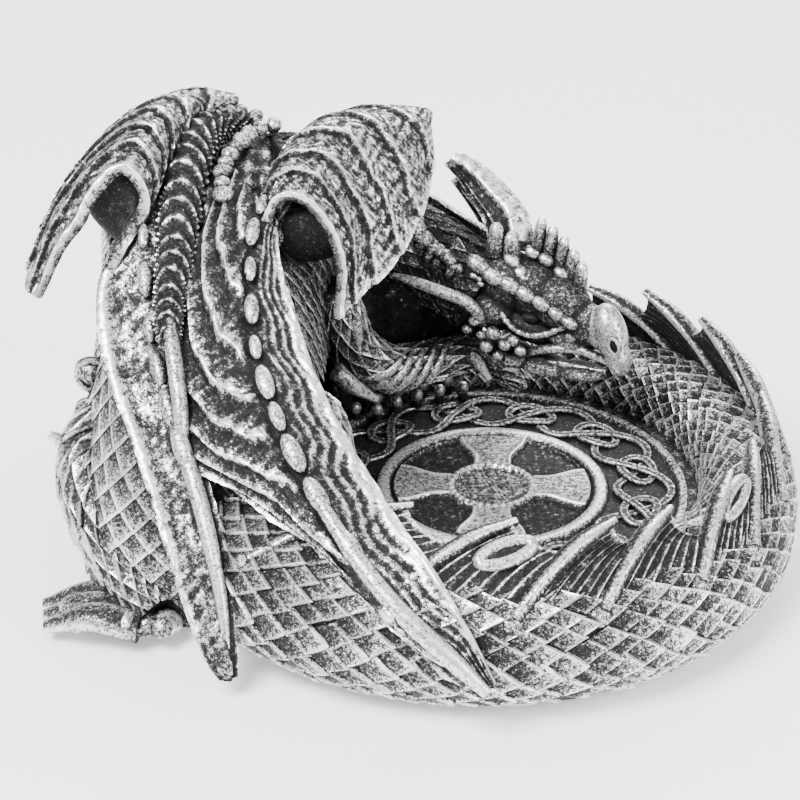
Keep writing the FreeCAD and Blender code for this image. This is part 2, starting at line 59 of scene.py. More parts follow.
def toObject(name, points, faces, raised=None, smoothAngle=40):
    # points in mm; raised says how much silver is rubbed back at each point, 0 to 1, and on the pieces that
    # sit in shade it is also set low as painted shade
    mesh = bpy.data.meshes.new(name)
    mesh.from_pydata((np.asarray(points, float) * mm).tolist(), [], faces)
    mesh.update()
    worn = mesh.attributes.new("raised", "FLOAT", "POINT")
    values = np.full(len(points), 0.5) if raised is None else np.asarray(raised, float).ravel()
    worn.data.foreach_set("value", values.astype(np.float32))
    piece = bpy.data.objects.new(name, mesh)
    bpy.context.collection.objects.link(piece)
    turnOutwards(piece)
    shade(piece, smoothAngle)
    return piece


def turnOutwards(piece):
    work = bmesh.new()
    work.from_mesh(piece.data)
    bmesh.ops.recalc_face_normals(work, faces=work.faces)
    work.to_mesh(piece.data)
    work.free()


def only(piece):
    bpy.ops.object.select_all(action="DESELECT")
    piece.select_set(True)
    bpy.context.view_layer.objects.active = piece


def shade(piece, angle):
    only(piece)
    bpy.ops.object.shade_smooth_by_angle(angle=math.radians(angle))


def resample(table, count, axis=0):
    # a smooth curve through the rows of a table, read at count even steps
    rows = np.moveaxis(np.asarray(table, float), axis, 0)
    steps = np.linspace(0, len(rows) - 1, count)
    out = alongRows(rows, steps)
    return np.moveaxis(out, 0, axis)


def alongRows(rows, steps):
    steps = np.clip(np.asarray(steps, float), 0, len(rows) - 1)
    at = np.clip(steps.astype(int), 0, len(rows) - 2)
    f = (steps - at).reshape(steps.shape + (1,) * (rows.ndim - 1))
    padded = np.concatenate([2 * rows[:1] - rows[1:2], rows, 2 * rows[-1:] - rows[-2:-1]])
    a, b, c, d = padded[at], padded[at + 1], padded[at + 2], padded[at + 3]
    return 0.5 * (2 * b + (c - a) * f + (2 * a - 5 * b + 4 * c - d) * f**2 + (3 * b - a - 3 * c + d) * f**3)


def unit(v):
    return v / np.maximum(np.linalg.norm(v, axis=-1, keepdims=True), 1e-9)


def gridFaces(rows, columns, wrap=False, start=0):
    faces = []
    last = columns if wrap else columns - 1
    for i in range(rows - 1):
        for j in range(last):
            k = (j + 1) % columns
            a, b = start + i * columns, start + (i + 1) * columns
            faces.append((a + j, a + k, b + k, b + j))
    return faces


def smoothStep(x, low, high):
    t = np.clip((x - low) / (high - low), 0, 1)
    return t * t * (3 - 2 * t)


def bump(x, centre, width):
    return np.exp(-(((x - centre) / width) ** 2))


def castGrain(points, size=2.2):
    # an uneven cast surface: a few crossed waves, so that it is the same wherever two pieces meet
    total = np.zeros(points.shape[:-1])
    headings = [(1, 0.3, 0.5), (-0.4, 1, 0.2), (0.3, -0.5, 1), (0.8, 0.7, -0.6), (-0.7, 0.4, 0.9)]
    for i, heading in enumerate(headings):
        along = points @ (np.array(heading) * tau / (size * (1 + 0.37 * i)))
        across = points @ (np.array(heading[::-1]) * tau / (size * (2.3 + 0.3 * i)))
        total += np.sin(along + 2.2 * np.sin(across + i))
    return total / 3.2


class Tube:
    # a body with an oval or squarish section that follows a path
    def __init__(self, path, fullness=1.0, up=(0, 0, 1)):
        # path: rows of x, y, z, half width, half height
        table = np.array(path, float)
        points = table[:, :3]
        ahead = unit(np.gradient(points, axis=0))
        side = unit(np.cross(ahead, np.array(up, float)))
        rise = unit(np.cross(side, ahead))
        self.rows = np.concatenate([points, side * table[:, 3:4], rise * table[:, 4:5]], axis=1)
        self.fullness = fullness

    def at(self, u, v):
        rows = alongRows(self.rows, np.asarray(u) * (len(self.rows) - 1))
        c, s = np.cos(tau * v)[..., None], np.sin(tau * v)[..., None]
        c, s = (np.sign(w) * np.abs(w) ** self.fullness for w in (c, s))
        return rows[..., :3] + rows[..., 3:6] * c + rows[..., 6:9] * s

    def normal(self, u, v):
        e = 0.004
        du = self.at(np.clip(u + e, 0, 1), v) - self.at(np.clip(u - e, 0, 1), v)
        dv = self.at(u, v + e) - self.at(u, v - e)
        n = unit(np.cross(du, dv))
        out = self.at(u, v) - alongRows(self.rows, np.asarray(u) * (len(self.rows) - 1))[..., :3]
        return n * np.sign((n * out).sum(-1, keepdims=True) + 1e-9)


def skin(name, tube, rows, around, relief=None, raised=0.25):
    # the closed surface of a tube, with a relief that lifts it and says where it is worn
    u, v = np.meshgrid(np.linspace(0, 1, rows), np.arange(around) / around, indexing="ij")
    points, lift, worn = tube.at(u, v), np.zeros_like(u), np.full_like(u, raised)
    if relief:
        lift, worn = relief(u, v)
    points = points + tube.normal(u, v) * lift[..., None]
    flat = points.reshape(-1, 3)
    caps = [flat[:around].mean(0), flat[-around:].mean(0)]
    faces = gridFaces(rows, around, wrap=True)
    n = len(flat)
    for j in range(around):
        k = (j + 1) % around
        faces.append((j, k, n))
        faces.append((n - around + k, n - around + j, n + 1))
    ends = [worn[0].mean(), worn[-1].mean()]
    return toObject(name, np.vstack([flat, caps]), faces, np.append(worn.ravel(), ends))


def joined(name, pieces):
    only(pieces[0])
    for piece in pieces[1:]:
        piece.select_set(True)
    if len(pieces) > 1:
        bpy.ops.object.join()
    pieces[0].name = name
    pieces[0].data.name = name
    return pieces[0]


def diamond(cuts=(0, 0.3, 0.62, 0.85, 0.93, 1)):
    # one rhombic scale, point towards +x: it lifts towards its two trailing edges and has a skirt and a base
    s, t = np.meshgrid(cuts, cuts, indexing="ij")
    x, y = s + t - 1, s - t
    far = np.maximum(s, t)
    lip = smoothStep(far, 0.8, 0.93)
    rise = 0.1 + 0.75 * ((s + t) / 2) + 0.2 * lip - 0.3 * smoothStep(far, 0.93, 1.0)
    worn = 0.26 + 0.24 * (s + t) / 2 + 0.5 * lip
    top = np.stack([x, y, rise], -1).reshape(-1, 3)
    n = len(cuts)
    edge = [i for i in range(n)] + [i * n + n - 1 for i in range(1, n)]
    edge += [n * n - 1 - i for i in range(1, n)] + [(n - 1 - i) * n for i in range(1, n - 1)]
    low = top[edge] * [1, 1, 0] + [0, 0, -0.5]
    points = np.vstack([top, low])
    faces = gridFaces(n, n)
    for i in range(len(edge)):
        j = (i + 1) % len(edge)
        faces.append((edge[j], edge[i], n * n + i, n * n + j))
    faces.append(tuple(n * n + i for i in range(len(edge))))
    return points, faces, np.append(worn.ravel(), np.zeros(len(edge)))


def scales(name, tube, rows, around, height, arc=(0, 1), span=(0, 1), overlap=1.12, wear=1.0, jitter=0.06):
    # a lattice of scales that follow a tube; rows is their number along it, around their number round it
    points, faces, worn = diamond()
    places = []
    for k in range(rows):
        for j in range(around + 1):
            u = span[0] + (span[1] - span[0]) * (k + 0.5) / rows
            v = arc[0] + (arc[1] - arc[0]) * (j + 0.5 * (k % 2)) / around
            places.append((u, v))
    places = np.array(places)
    du, dv = (span[1] - span[0]) / rows, (arc[1] - arc[0]) / around / 2
    grow = overlap * (1 + jitter * chance.standard_normal((len(places), 1)))
    places[:, 0] += 0.12 * du * chance.standard_normal(len(places))
    places[:, 1] += 0.12 * dv * chance.standard_normal(len(places))
    u = np.clip(places[:, :1] + points[:, 0] * du * grow, 0, 1)
    v = places[:, 1:] + points[:, 1] * dv * grow
    tall = height * (1 + 1.5 * jitter * chance.standard_normal((len(places), 1)))
    spots = tube.at(u, v) + tube.normal(u, v) * (points[:, 2] * tall)[..., None]
    n = len(points)
    everyFace = [tuple(i + n * k for i in face) for k in range(len(places)) for face in faces]
    rubbed = np.clip(wear * worn + 0.08 * chance.standard_normal((len(places), 1)), 0, 1)
    return toObject(name, spots.reshape(-1, 3), everyFace, rubbed, smoothAngle=50)


def sheet(name, rows, wall, relief, counts):
    # a curved sheet through rows of points, with relief on its outer side and a rounded rim
    dense = resample(resample(rows, counts[0], 0), counts[1], 1)
    along, across = np.gradient(dense, axis=0), np.gradient(dense, axis=1)
    out = unit(np.cross(along, across))
    if out[..., 2].mean() < 0:
        out = -out
    u, v = np.meshgrid(np.linspace(0, 1, counts[0]), np.linspace(0, 1, counts[1]), indexing="ij")
    lift, worn = relief(u, v)
    rough = castGrain(dense)
    lift, worn = lift + 0.16 * rough, np.clip(worn + 0.22 * rough, 0, 1)
    front = dense + out * (wall / 2 + lift)[..., None]
    back = dense - out * (wall / 2) + out * (0.5 * lift)[..., None]
    total = counts[0] * counts[1]
    faces = gridFaces(*counts) + [f[::-1] for f in gridFaces(*counts, start=total)]
    long, wide = counts
    rim = [i * wide for i in range(long)] + [total - wide + j for j in range(1, wide)]
    rim += [total - 1 - i * wide for i in range(1, long)] + [wide - 1 - j for j in range(1, wide - 1)]
    for i in range(len(rim)):
        a, b = rim[i], rim[(i + 1) % len(rim)]
        faces.append((a, b, total + b, total + a))
    points = np.vstack([front.reshape(-1, 3), back.reshape(-1, 3)])
    return toObject(name, points, faces, np.append(worn.ravel(), 0.35 * worn.ravel()))


def rod(name, points, radii, around=10, steps=6, flat=1.0, worn=(0.9, 1.0), groove=0):
    # a bone, horn or claw: a tapered bar with a rounded end
    table = [[*p, r, r * flat] for p, r in zip(points, radii)]
    tube = Tube(table)

    def relief(u, v):
        lift = np.zeros_like(u)
        wear = worn[0] + (worn[1] - worn[0]) * u
        if groove:
            cut = 0.5 + 0.5 * np.cos(tau * v * groove)
            lift = -0.16 * cut * radii[0] * (1 - u * 0.6)
            wear = wear - 0.5 * cut
        return lift, wear

    return skin(name, tube, steps * (len(points) - 1) + 1, around, relief)


def ball(name, centre, radii, ahead=(1, 0, 0), out=(0, 0, 1), detail=4):
    # an icosphere pressed to size and turned to lie along a line
    bpy.ops.object.select_all(action="DESELECT")
    bpy.ops.mesh.primitive_ico_sphere_add(subdivisions=detail, radius=1)
    piece = bpy.context.active_object
    piece.name = name
    ahead = unit(np.array(ahead, float))
    side = unit(np.cross(np.array(out, float), ahead))
    out = np.cross(ahead, side)
    turn = Matrix([[*(ahead * radii[0])], [*(side * radii[1])], [*(out * radii[2])]]).transposed()
    piece.data.transform(Matrix.Translation(Vector(centre) * mm) @ (turn * mm).to_4x4())
    return piece


def balls(name, lumps):
    return [ball(f"{name}{i}", *lump) for i, lump in enumerate(lumps)]


def bead(name, centre, radii, ahead, out, worn=0.85, detail=3):
    piece = ball(name, centre, radii, ahead, out, detail)
    setWorn(piece, worn)
    shade(piece, 60)
    return piece


def setWorn(piece, value):
    old = piece.data.attributes.get("raised")
    if old:
        piece.data.attributes.remove(old)
    attribute = piece.data.attributes.new("raised", "FLOAT", "POINT")
    attribute.data.foreach_set("value", np.full(len(piece.data.vertices), value, np.float32))


# finishes: rubbed antique silver, and the plain resin, steel and felt

def group(name, inputs, outputs):
    tree = bpy.data.node_groups.new(name, "ShaderNodeTree")
    for label, value in inputs.items():
        tree.interface.new_socket(label, in_out="INPUT", socket_type="NodeSocketFloat").default_value = value
    for label, kind in outputs.items():
        tree.interface.new_socket(label, in_out="OUTPUT", socket_type=kind)
    return tree


def add(tree, kind, **values):
    node = tree.nodes.new(kind)
    for key, value in values.items():
        if key[0].isupper() or key[0].isdigit():
            node.inputs[int(key) if key.isdigit() else key.replace("_", " ")].default_value = value
        else:
            setattr(node, key, value)
    return node


def maths(tree, operation, first, second=None, clamp=False):
    node = add(tree, "ShaderNodeMath", operation=operation, use_clamp=clamp)
    for i, value in enumerate((first, second)):
        if value is None:
            continue
        if isinstance(value, (int, float)):
            node.inputs[i].default_value = value
        else:
            tree.links.new(value, node.inputs[i])
    return node.outputs[0]


def rubbedSilver():
    # black patina with the silver rubbed back on what stands proud, in a fine broken speckle; the Open input
    # darkens sheltered places, which is patina in fine crevices and painted shade in wide hollows
    inputs = {"Raised": 0.5, "Open": 1.0, "Speckle": 1.0, "Polish": 1.0}
    outputs = {"Color": "NodeSocketColor", "Roughness": "NodeSocketFloat", "Metal": "NodeSocketFloat"}
    outputs["Height"] = "NodeSocketFloat"
    tree = group("rubbedSilver", inputs, outputs)
    given, out = add(tree, "NodeGroupInput"), add(tree, "NodeGroupOutput")
    place = add(tree, "ShaderNodeTexCoord")
    coarse = add(tree, "ShaderNodeTexNoise", Scale=1100, Detail=3, Roughness=0.6)
    fine = add(tree, "ShaderNodeTexNoise", Scale=3000, Detail=3, Roughness=0.65)
    for node in (coarse, fine):
        tree.links.new(place.outputs["Object"], node.inputs["Vector"])
    broken = maths(tree, "ADD", maths(tree, "MULTIPLY", coarse.outputs["Fac"], 0.45),
                   maths(tree, "MULTIPLY", fine.outputs["Fac"], 0.55))
    broken = maths(tree, "MULTIPLY", maths(tree, "SUBTRACT", broken, 0.5), 4.6)
    broken = maths(tree, "MULTIPLY", broken, given.outputs["Speckle"])
    height = maths(tree, "MULTIPLY", given.outputs["Raised"], given.outputs["Open"])
    mask = maths(tree, "ADD", maths(tree, "MULTIPLY", maths(tree, "SUBTRACT", height, 0.45), 1.7), broken)
    mask = maths(tree, "ADD", mask, 0.5, clamp=True)
    tone = add(tree, "ShaderNodeValToRGB")
    tone.color_ramp.elements[0].position = 0.0
    tone.color_ramp.elements[0].color = (0.006, 0.006, 0.007, 1)
    tone.color_ramp.elements[1].position = 1.0
    tone.color_ramp.elements[1].color = (0.88, 0.88, 0.87, 1)
    middle = tone.color_ramp.elements.new(0.5)
    middle.color = (0.06, 0.06, 0.062, 1)
    tree.links.new(mask, tone.inputs["Fac"])
    tree.links.new(tone.outputs["Color"], out.inputs["Color"])
    rough = maths(tree, "SUBTRACT", 0.6, maths(tree, "MULTIPLY", mask, 0.24))
    tree.links.new(maths(tree, "MULTIPLY", rough, given.outputs["Polish"]), out.inputs["Roughness"])
    tree.links.new(maths(tree, "ADD", maths(tree, "MULTIPLY", mask, 0.75), 0.15), out.inputs["Metal"])
    grain = maths(tree, "ADD", maths(tree, "MULTIPLY", fine.outputs["Fac"], 0.6), coarse.outputs["Fac"])
    tree.links.new(grain, out.inputs["Height"])
    return tree


silverGroup = rubbedSilver()


def silver(name, speckle=1.0, polish=1.0, reach=3.0, deep=0.8, bumpDepth=0.12):
    material = bpy.data.materials.new(name)
    material.use_nodes = True
    tree = material.node_tree
    shader = tree.nodes["Principled BSDF"]
    shader.inputs["Specular IOR Level"].default_value = 0.15
    worn = add(tree, "ShaderNodeAttribute", attribute_name="raised")
    # ambient occlusion darkens sheltered places: over a few mm it stands for patina in crevices, over a wider
    # reach it is painted shade
    shelter = add(tree, "ShaderNodeAmbientOcclusion", samples=6, Distance=reach * mm)
    effect = add(tree, "ShaderNodeGroup", node_tree=silverGroup)
    effect.inputs["Speckle"].default_value = speckle
    effect.inputs["Polish"].default_value = polish
    openness = maths(tree, "POWER", shelter.outputs["AO"], deep)
    tree.links.new(worn.outputs["Fac"], effect.inputs["Raised"])
    tree.links.new(openness, effect.inputs["Open"])
    bumpNode = add(tree, "ShaderNodeBump", Strength=0.5, Distance=bumpDepth * mm)
    tree.links.new(effect.outputs["Height"], bumpNode.inputs["Height"])
    tree.links.new(effect.outputs["Color"], shader.inputs["Base Color"])
    tree.links.new(effect.outputs["Roughness"], shader.inputs["Roughness"])
    tree.links.new(effect.outputs["Metal"], shader.inputs["Metallic"])
    tree.links.new(bumpNode.outputs["Normal"], shader.inputs["Normal"])
    return material


def plain(name, color, rough, metal, scale, depth):
    # cast resin, steel or felt: a noise drives a small change of tone and roughness, and a bump
    material = bpy.data.materials.new(name)
    material.use_nodes = True
    tree = material.node_tree
    shader = tree.nodes["Principled BSDF"]
    shader.inputs["Metallic"].default_value = metal
    place = add(tree, "ShaderNodeTexCoord")
    noise = add(tree, "ShaderNodeTexNoise", Scale=scale, Detail=5, Roughness=0.6)
    tree.links.new(place.outputs["Object"], noise.inputs["Vector"])
    tone = add(tree, "ShaderNodeValToRGB")
    tone.color_ramp.elements[0].color = (*[c * 0.6 for c in color], 1)
    tone.color_ramp.elements[1].color = (*[c * 1.4 for c in color], 1)
    tree.links.new(noise.outputs["Fac"], tone.inputs["Fac"])
    tree.links.new(tone.outputs["Color"], shader.inputs["Base Color"])
    tree.links.new(maths(tree, "ADD", maths(tree, "MULTIPLY", noise.outputs["Fac"], 0.2), rough - 0.1),
                   shader.inputs["Roughness"])
    bumpNode = add(tree, "ShaderNodeBump", Strength=0.6, Distance=depth * mm)
    tree.links.new(noise.outputs["Fac"], bumpNode.inputs["Height"])
    tree.links.new(bumpNode.outputs["Normal"], shader.inputs["Normal"])
    return material


castSilver = silver("castSilver")
scaleSilver = silver("scaleSilver", speckle=1.15, reach=2.5)
smoothSilver = silver("smoothSilver", speckle=0.8, polish=0.9, reach=4.0, bumpDepth=0.08)
# a copy of the silver with painted shade: occlusion over 16 mm darkens whole hollows, for the pieces that sit
# in shade under the neck, head and hoods
shadedSilver = silver("shadedSilver", reach=16.0, deep=1.3)
plain("innerResin", (0.05, 0.05, 0.052), 0.6, 0.0, 900, 0.05)
plain("pinSteel", (0.5, 0.5, 0.5), 0.35, 1.0, 2500, 0.01)
plain("blackFelt", (0.02, 0.02, 0.021), 0.95, 0.0, 4000, 0.15)


def finish(piece, material, *nodes, slot="antique_silver"):
    piece.data.materials.clear()
    piece.data.materials.append(material)
    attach(piece, "root")
    if nodes:
        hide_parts(*nodes)
    return piece


def melted(name, pieces, grain=0.55, soften=3):
    # separate lumps grown together into one cast skin
    whole = joined(name, pieces)
    only(whole)
    remesh = whole.modifiers.new("grow", "REMESH")
    remesh.mode, remesh.voxel_size = "VOXEL", grain * mm
    bpy.ops.object.modifier_apply(modifier="grow")
    smooth = whole.modifiers.new("soften", "SMOOTH")
    smooth.factor, smooth.iterations = 0.5, soften
    bpy.ops.object.modifier_apply(modifier="soften")
    shade(whole, 60)
    return whole


def wearByShape(piece, low=0.1, high=0.9, gain=1.0):
    # bright where the surface bulges, dark where it dips, by the bend between a point and its neighbours
    work = bmesh.new()
    work.from_mesh(piece.data)
    bend = []
    for vert in work.verts:
        ring = [edge.other_vert(vert).co for edge in vert.link_edges]
        middle = sum(ring, Vector()) / len(ring)
        reach = sum((r - vert.co).length for r in ring) / len(ring)
        bend.append((vert.co - middle).dot(vert.normal) / reach)
    work.free()
    bend = np.array(bend)
    value = np.clip((low + high) / 2 + gain * 6 * (bend - np.median(bend)), low, high)
    setWorn(piece, 0)
    piece.data.attributes["raised"].data.foreach_set("value", value.astype(np.float32))


# the tail, cast in runs round the tray; sizes in mm at angles round the ring

tailShape = {
    "angles": [-165, -140, -115, -90, -65, -40, -10, 20, 50, 80, 100, 115, 128],
    "widths": [42, 39, 36.5, 34, 31.5, 28.5, 26, 26, 26, 26, 23, 17, 9],
    "heights": [40, 39, 37, 35, 33.5, 31.5, 31, 31, 31, 31, 29, 24, 12],
    "fullness": 0.8,
    "shrink": 0.94,
    "around": 15, "arc": (-0.2, 0.66), "wear": 0.86,
    "underside": 1.2, "gap": 0.3, "lap": 1, "grid": (30, 48),
}
tailStart, tailEnd = tailShape["angles"][0], tailShape["angles"][-1]


def tailTube(start, end, shrink=tailShape["shrink"]):
    count = max(6, int(abs(end - start) / 8))
    path = []
    for angle in np.linspace(start, end, count):
        width = np.interp(angle, tailShape["angles"], tailShape["widths"])
        height = np.interp(angle, tailShape["angles"], tailShape["heights"]) - tailShape["underside"]
        turn, reach = math.radians(angle), trayRadius + tailShape["gap"] + width / 2
        path.append([reach * math.cos(turn), reach * math.sin(turn), tailShape["underside"] + height / 2,
                     width / 2 * shrink, height / 2 * shrink])
    return Tube(path, fullness=tailShape["fullness"])


tailRuns = {
    "root": {"from": -165, "to": -110, "rows": 16, "height": 1.9},
    "front": {"from": -110, "to": -50, "rows": 18, "height": 1.8},
    "side": {"from": -50, "to": 20, "rows": 22, "height": 1.5},
    "back": {"from": 20, "to": 90, "rows": 26, "height": 1.3},
    "end": {"from": 90, "to": 128, "rows": 16, "height": 1.0},
}
wholeTail = tailTube(tailStart, tailEnd)


def tailPiece(label, run):
    # each run of the body is a little long, so that its scales lap over the next one
    length = tailEnd - tailStart
    span = [(run[end] - tailStart) / length for end in ("from", "to")]
    start = max(run["from"] - tailShape["lap"], tailStart)
    end = min(run["to"] + tailShape["lap"], tailEnd)
    body = skin(f"tail_{label}", tailTube(start, end), *tailShape["grid"], raised=0.05)
    cover = scales(f"tail_{label}_scales", wholeTail, run["rows"], tailShape["around"], run["height"],
                   arc=tailShape["arc"], span=span, wear=tailShape["wear"])
    return finish(joined(f"tail_{label}_cast", [body, cover]), scaleSilver, f"tail_{label}")


for label, run in tailRuns.items():
    tailPiece(label, run)
print("tail ring done")


# fins on the tail; each tip is its angle, radius and height, in mm

finSet = {
    "front": {"tips": [(-109, 60, 42), (-84.5, 63, 42), (-63, 67, 41), (-48, 67, 39)], "to": (-38, 70, 33),
              "cups": [1]},
    "side": {"tips": [(-27.7, 69, 39), (-11.5, 70, 38), (6, 73, 41)], "to": (14, 74, 33), "cups": [0]},
    "back": {"tips": [(23.5, 75, 41), (37, 74, 45), (54, 74, 46), (68, 73, 43)], "to": (78, 74, 33),
             "cups": []},
    "lean": 23, "root": 0.68, "footHeight": 0.80, "thick": 1.5, "spike": 2.7, "pad": 4.6, "bow": 4.2,
    "sag": 3.0, "ridges": 7, "grid": (34, 81),
    "cup": {"across": 0.52, "up": 0.66, "long": 5.8, "wide": 4.4, "rim": 1.7},
}


def onRing(angle, radius, z):
    turn = math.radians(angle)
    return np.array([radius * math.cos(turn), radius * math.sin(turn), z])


def finFoot(angle):
    width = np.interp(angle, tailShape["angles"], tailShape["widths"])
    height = np.interp(angle, tailShape["angles"], tailShape["heights"])
    return onRing(angle, trayRadius + width / 2 * (1 + finSet["root"]), height * finSet["footHeight"])


def webPoint(near, far, u, v):
    # near and far are (foot, tip) of the two spikes; the free edge runs from one tip to low on the next spike
    left, right = (near[0] + v * 0.96 * (near[1] - near[0]), far[0] + v * 0.62 * (far[1] - far[0]))
    sag = finSet["sag"] * 4 * u * (1 - u) * v**2
    bow = np.array([0, 0, finSet["bow"] * math.sin(math.pi * min(1, 0.12 + 0.8 * v))])
    return (1 - u) * left + u * right - unit(near[1] - near[0]) * sag + bow


def finWeb(name, near, far):
    # the web between two spikes, with fine ridges that follow them and a hollowed edge
    rows = [[webPoint(near, far, u, v) for u in np.linspace(0, 1, 9)] for v in np.linspace(0, 1, 6)]

    def relief(u, v):
        line = np.abs(np.cos(math.pi * v * finSet["ridges"])) ** 16
        lip = smoothStep(u, 0.93, 0.99)
        return 0.45 * line + 0.5 * lip, np.clip(0.1 + 0.7 * line + 0.7 * lip, 0, 1)

    return sheet(name, rows, finSet["thick"], relief, finSet["grid"])


def finCup(name, near, far):
    # a small hollow with a raised lip beside a spike
    cup = finSet["cup"]
    middle = webPoint(near, far, 1 - cup["across"], cup["up"]) + np.array([0, 0, 1.6])
    along = unit(near[1] - near[0])
    across = unit(far[0] - near[0])
    out = unit(np.cross(across, along))
    out = out * np.sign(out[2])
    turns = np.linspace(0, tau, 25)
    ring = [middle + along * cup["long"] * math.cos(t) + across * cup["wide"] * math.sin(t) for t in turns]
    rim = skin(name, Tube([[*p, cup["rim"], cup["rim"]] for p in ring], up=out), 49, 14, raised=0.68)
    hollow = bead(f"{name}Hollow", middle + out * 0.1, (cup["long"], cup["wide"], 0.9), along, out, 0.08)
    return [rim, hollow]


def finPiece(label):
    tips = finSet[label]["tips"] + [finSet[label]["to"]]
    spikes = []
    for i, tip in enumerate(tips):
        lean = finSet["lean"] * (1 if i < len(tips) - 1 else 0.5)
        spikes.append((finFoot(tip[0] - lean), onRing(*tip)))
    pieces, size = [], finSet["spike"]
    for i, (foot, tip) in enumerate(spikes[:-1]):
        bend = np.array([0, 0, finSet["bow"]])
        long = tip - foot
        points = [foot + bend * 0.3, foot + long / 3 + bend, foot + long * 2 / 3 + bend, tip + bend * 0.3]
        radii = [size * 1.25, size, size, size * 0.55]
        pieces.append(rod(f"spike{i}", points, radii, around=24, flat=0.85, worn=(0.62, 0.8), groove=3))
        pad = (finSet["pad"], finSet["pad"] * 0.8, finSet["pad"] * 0.55)
        slant = unit(foot * [1, 1, 0]) + [0, 0, 1]
        pieces.append(bead(f"pad{i}", foot + bend * 0.25, pad, long, slant, 0.55))
        pieces.append(finWeb(f"web{i}", spikes[i], spikes[i + 1]))
        if i in finSet[label]["cups"]:
            pieces += finCup(f"cup{i}", spikes[i], spikes[i + 1])
    return finish(joined(f"fin_{label}_cast", pieces), castSilver, f"tail_fin_{label}")


for label in ("front", "side", "back"):
    finPiece(label)
print("tail fins done")


# the tray floor: a relief disc with a flared cross, a ring and knotwork

disc = {
    "outer": 53.8, "ring": (28.6, 31.8), "hub": 10.5, "arm": 5.0, "flare": 4.2, "armEnd": 27.2,
    "edge": (51.2, 51.8), "edgeBeads": 34, "deep": 1.3, "rings": 118, "spokes": 420, "thick": 2.9,
    "knotRadius": 42.0, "knotSwing": 7.6, "knotWaves": 6, "strand": 1.2, "loop": 4.4,
}


def discRelief(r, turn):
    x, y = r * np.cos(turn), r * np.sin(turn)
    widen = disc["arm"] + disc["flare"] * smoothStep(r, 15, disc["armEnd"])
    off = np.minimum(np.abs(x), np.abs(y)) - widen
    pit = smoothStep(off, 0, 0.7) * smoothStep(r, disc["hub"] + 1.6, disc["hub"] + 2.6)
    pit = pit * (1 - smoothStep(r, disc["armEnd"] - 0.6, disc["armEnd"] + 0.2))
    hub = 1 - smoothStep(r, disc["hub"] - 0.6, disc["hub"])
    inner, outside = disc["ring"]
    groove = smoothStep(r, disc["armEnd"], disc["armEnd"] + 0.5) * (1 - smoothStep(r, inner - 0.5, inner))
    outer = smoothStep(r, outside, outside + 0.6) * (1 - smoothStep(r, *disc["edge"]))
    deep = np.maximum.reduce([pit, hub * 0.8, groove, outer])
    border = bump(off, -0.3, 0.55) * smoothStep(r, disc["hub"] + 1.5, disc["hub"] + 2.5)
    border = border * (r < disc["armEnd"])
    beads = bump(r, disc["hub"] + 0.7, 0.6) * (0.5 + 0.5 * np.cos(turn * disc["edgeBeads"]))
    lift = -disc["deep"] * deep + 0.3 * border + 0.45 * beads
    ringTop = bump(r, sum(disc["ring"]) / 2, 1.5) * 0.35
    worn = 0.5 - 0.38 * deep + 0.2 * hub + 0.35 * border + 0.5 * beads + 0.55 * ringTop
    stipple = 0.2 * castGrain(np.stack([x, y, 0 * x], -1), 1.7)
    return lift + ringTop + stipple * (pit + hub) * 0.6, worn + stipple * (pit + hub) * 0.9


def discPlate():
    r, turn = np.meshgrid(np.linspace(0.05, disc["outer"], disc["rings"]),
                          np.arange(disc["spokes"]) / disc["spokes"] * tau, indexing="ij")
    lift, worn = discRelief(r, turn)
    top = np.stack([r * np.cos(turn), r * np.sin(turn), floorTop + lift], -1).reshape(-1, 3)
    rim = top[-disc["spokes"]:].copy()
    rim[:, 2] = floorTop - disc["thick"]
    faces = gridFaces(disc["rings"], disc["spokes"], wrap=True)
    n, s = len(top), disc["spokes"]
    for j in range(s):
        k = (j + 1) % s
        faces += [(n - s + j, n - s + k, n + k, n + j)]
    faces += [tuple(range(s)), tuple(n + j for j in range(s))]
    return toObject("discPlate", np.vstack([top, rim]), faces, np.append(worn.ravel(), np.zeros(s)), 60)


def strand(name, points):
    # one flat knotwork band, with a hollow along the middle so that its edges catch the light
    size = disc["strand"]
    tube = Tube([[*p, size, size * 0.62] for p in points], fullness=0.7)

    def relief(u, v):
        hollow = bump(v, 0.25, 0.07)
        return -0.3 * hollow, 0.56 - 0.3 * hollow - 0.3 * smoothStep(np.cos(tau * (v - 0.75)), 0.2, 0.8)

    return skin(name, tube, len(points), 16, relief)


def knotwork():
    level = floorTop - disc["deep"] + 0.75
    turns = np.linspace(0, tau, 241)
    pieces = []
    for sign in (1, -1):
        reach = disc["knotRadius"] + sign * disc["knotSwing"] * np.cos(disc["knotWaves"] * turns)
        z = level + 0.55 * sign * np.sin(disc["knotWaves"] * turns)
        line = np.stack([reach * np.cos(turns), reach * np.sin(turns), z], 1)
        pieces.append(strand(f"braid{sign}", line))
    for i in range(2 * disc["knotWaves"]):
        centre = math.pi * (i + 0.5) / disc["knotWaves"]
        loop = np.linspace(0, tau, 41)
        reach = disc["knotRadius"] + disc["loop"] * np.cos(loop)
        side = 1.5 * disc["loop"] * np.sin(loop) / disc["knotRadius"]
        z = level + 0.5 * np.sin(2 * loop + math.pi / 4)
        points = np.stack([reach * np.cos(centre + side), reach * np.sin(centre + side), z], 1)
        pieces.append(strand(f"loop{i}", points))
    return pieces


finish(joined("disc_cast", [discPlate(), *knotwork()]), castSilver, "floor_disc")
print("tray floor done")


# the wings, folded down like a cape; rows run from the shoulder to the tip,
# each from inner edge to leading edge

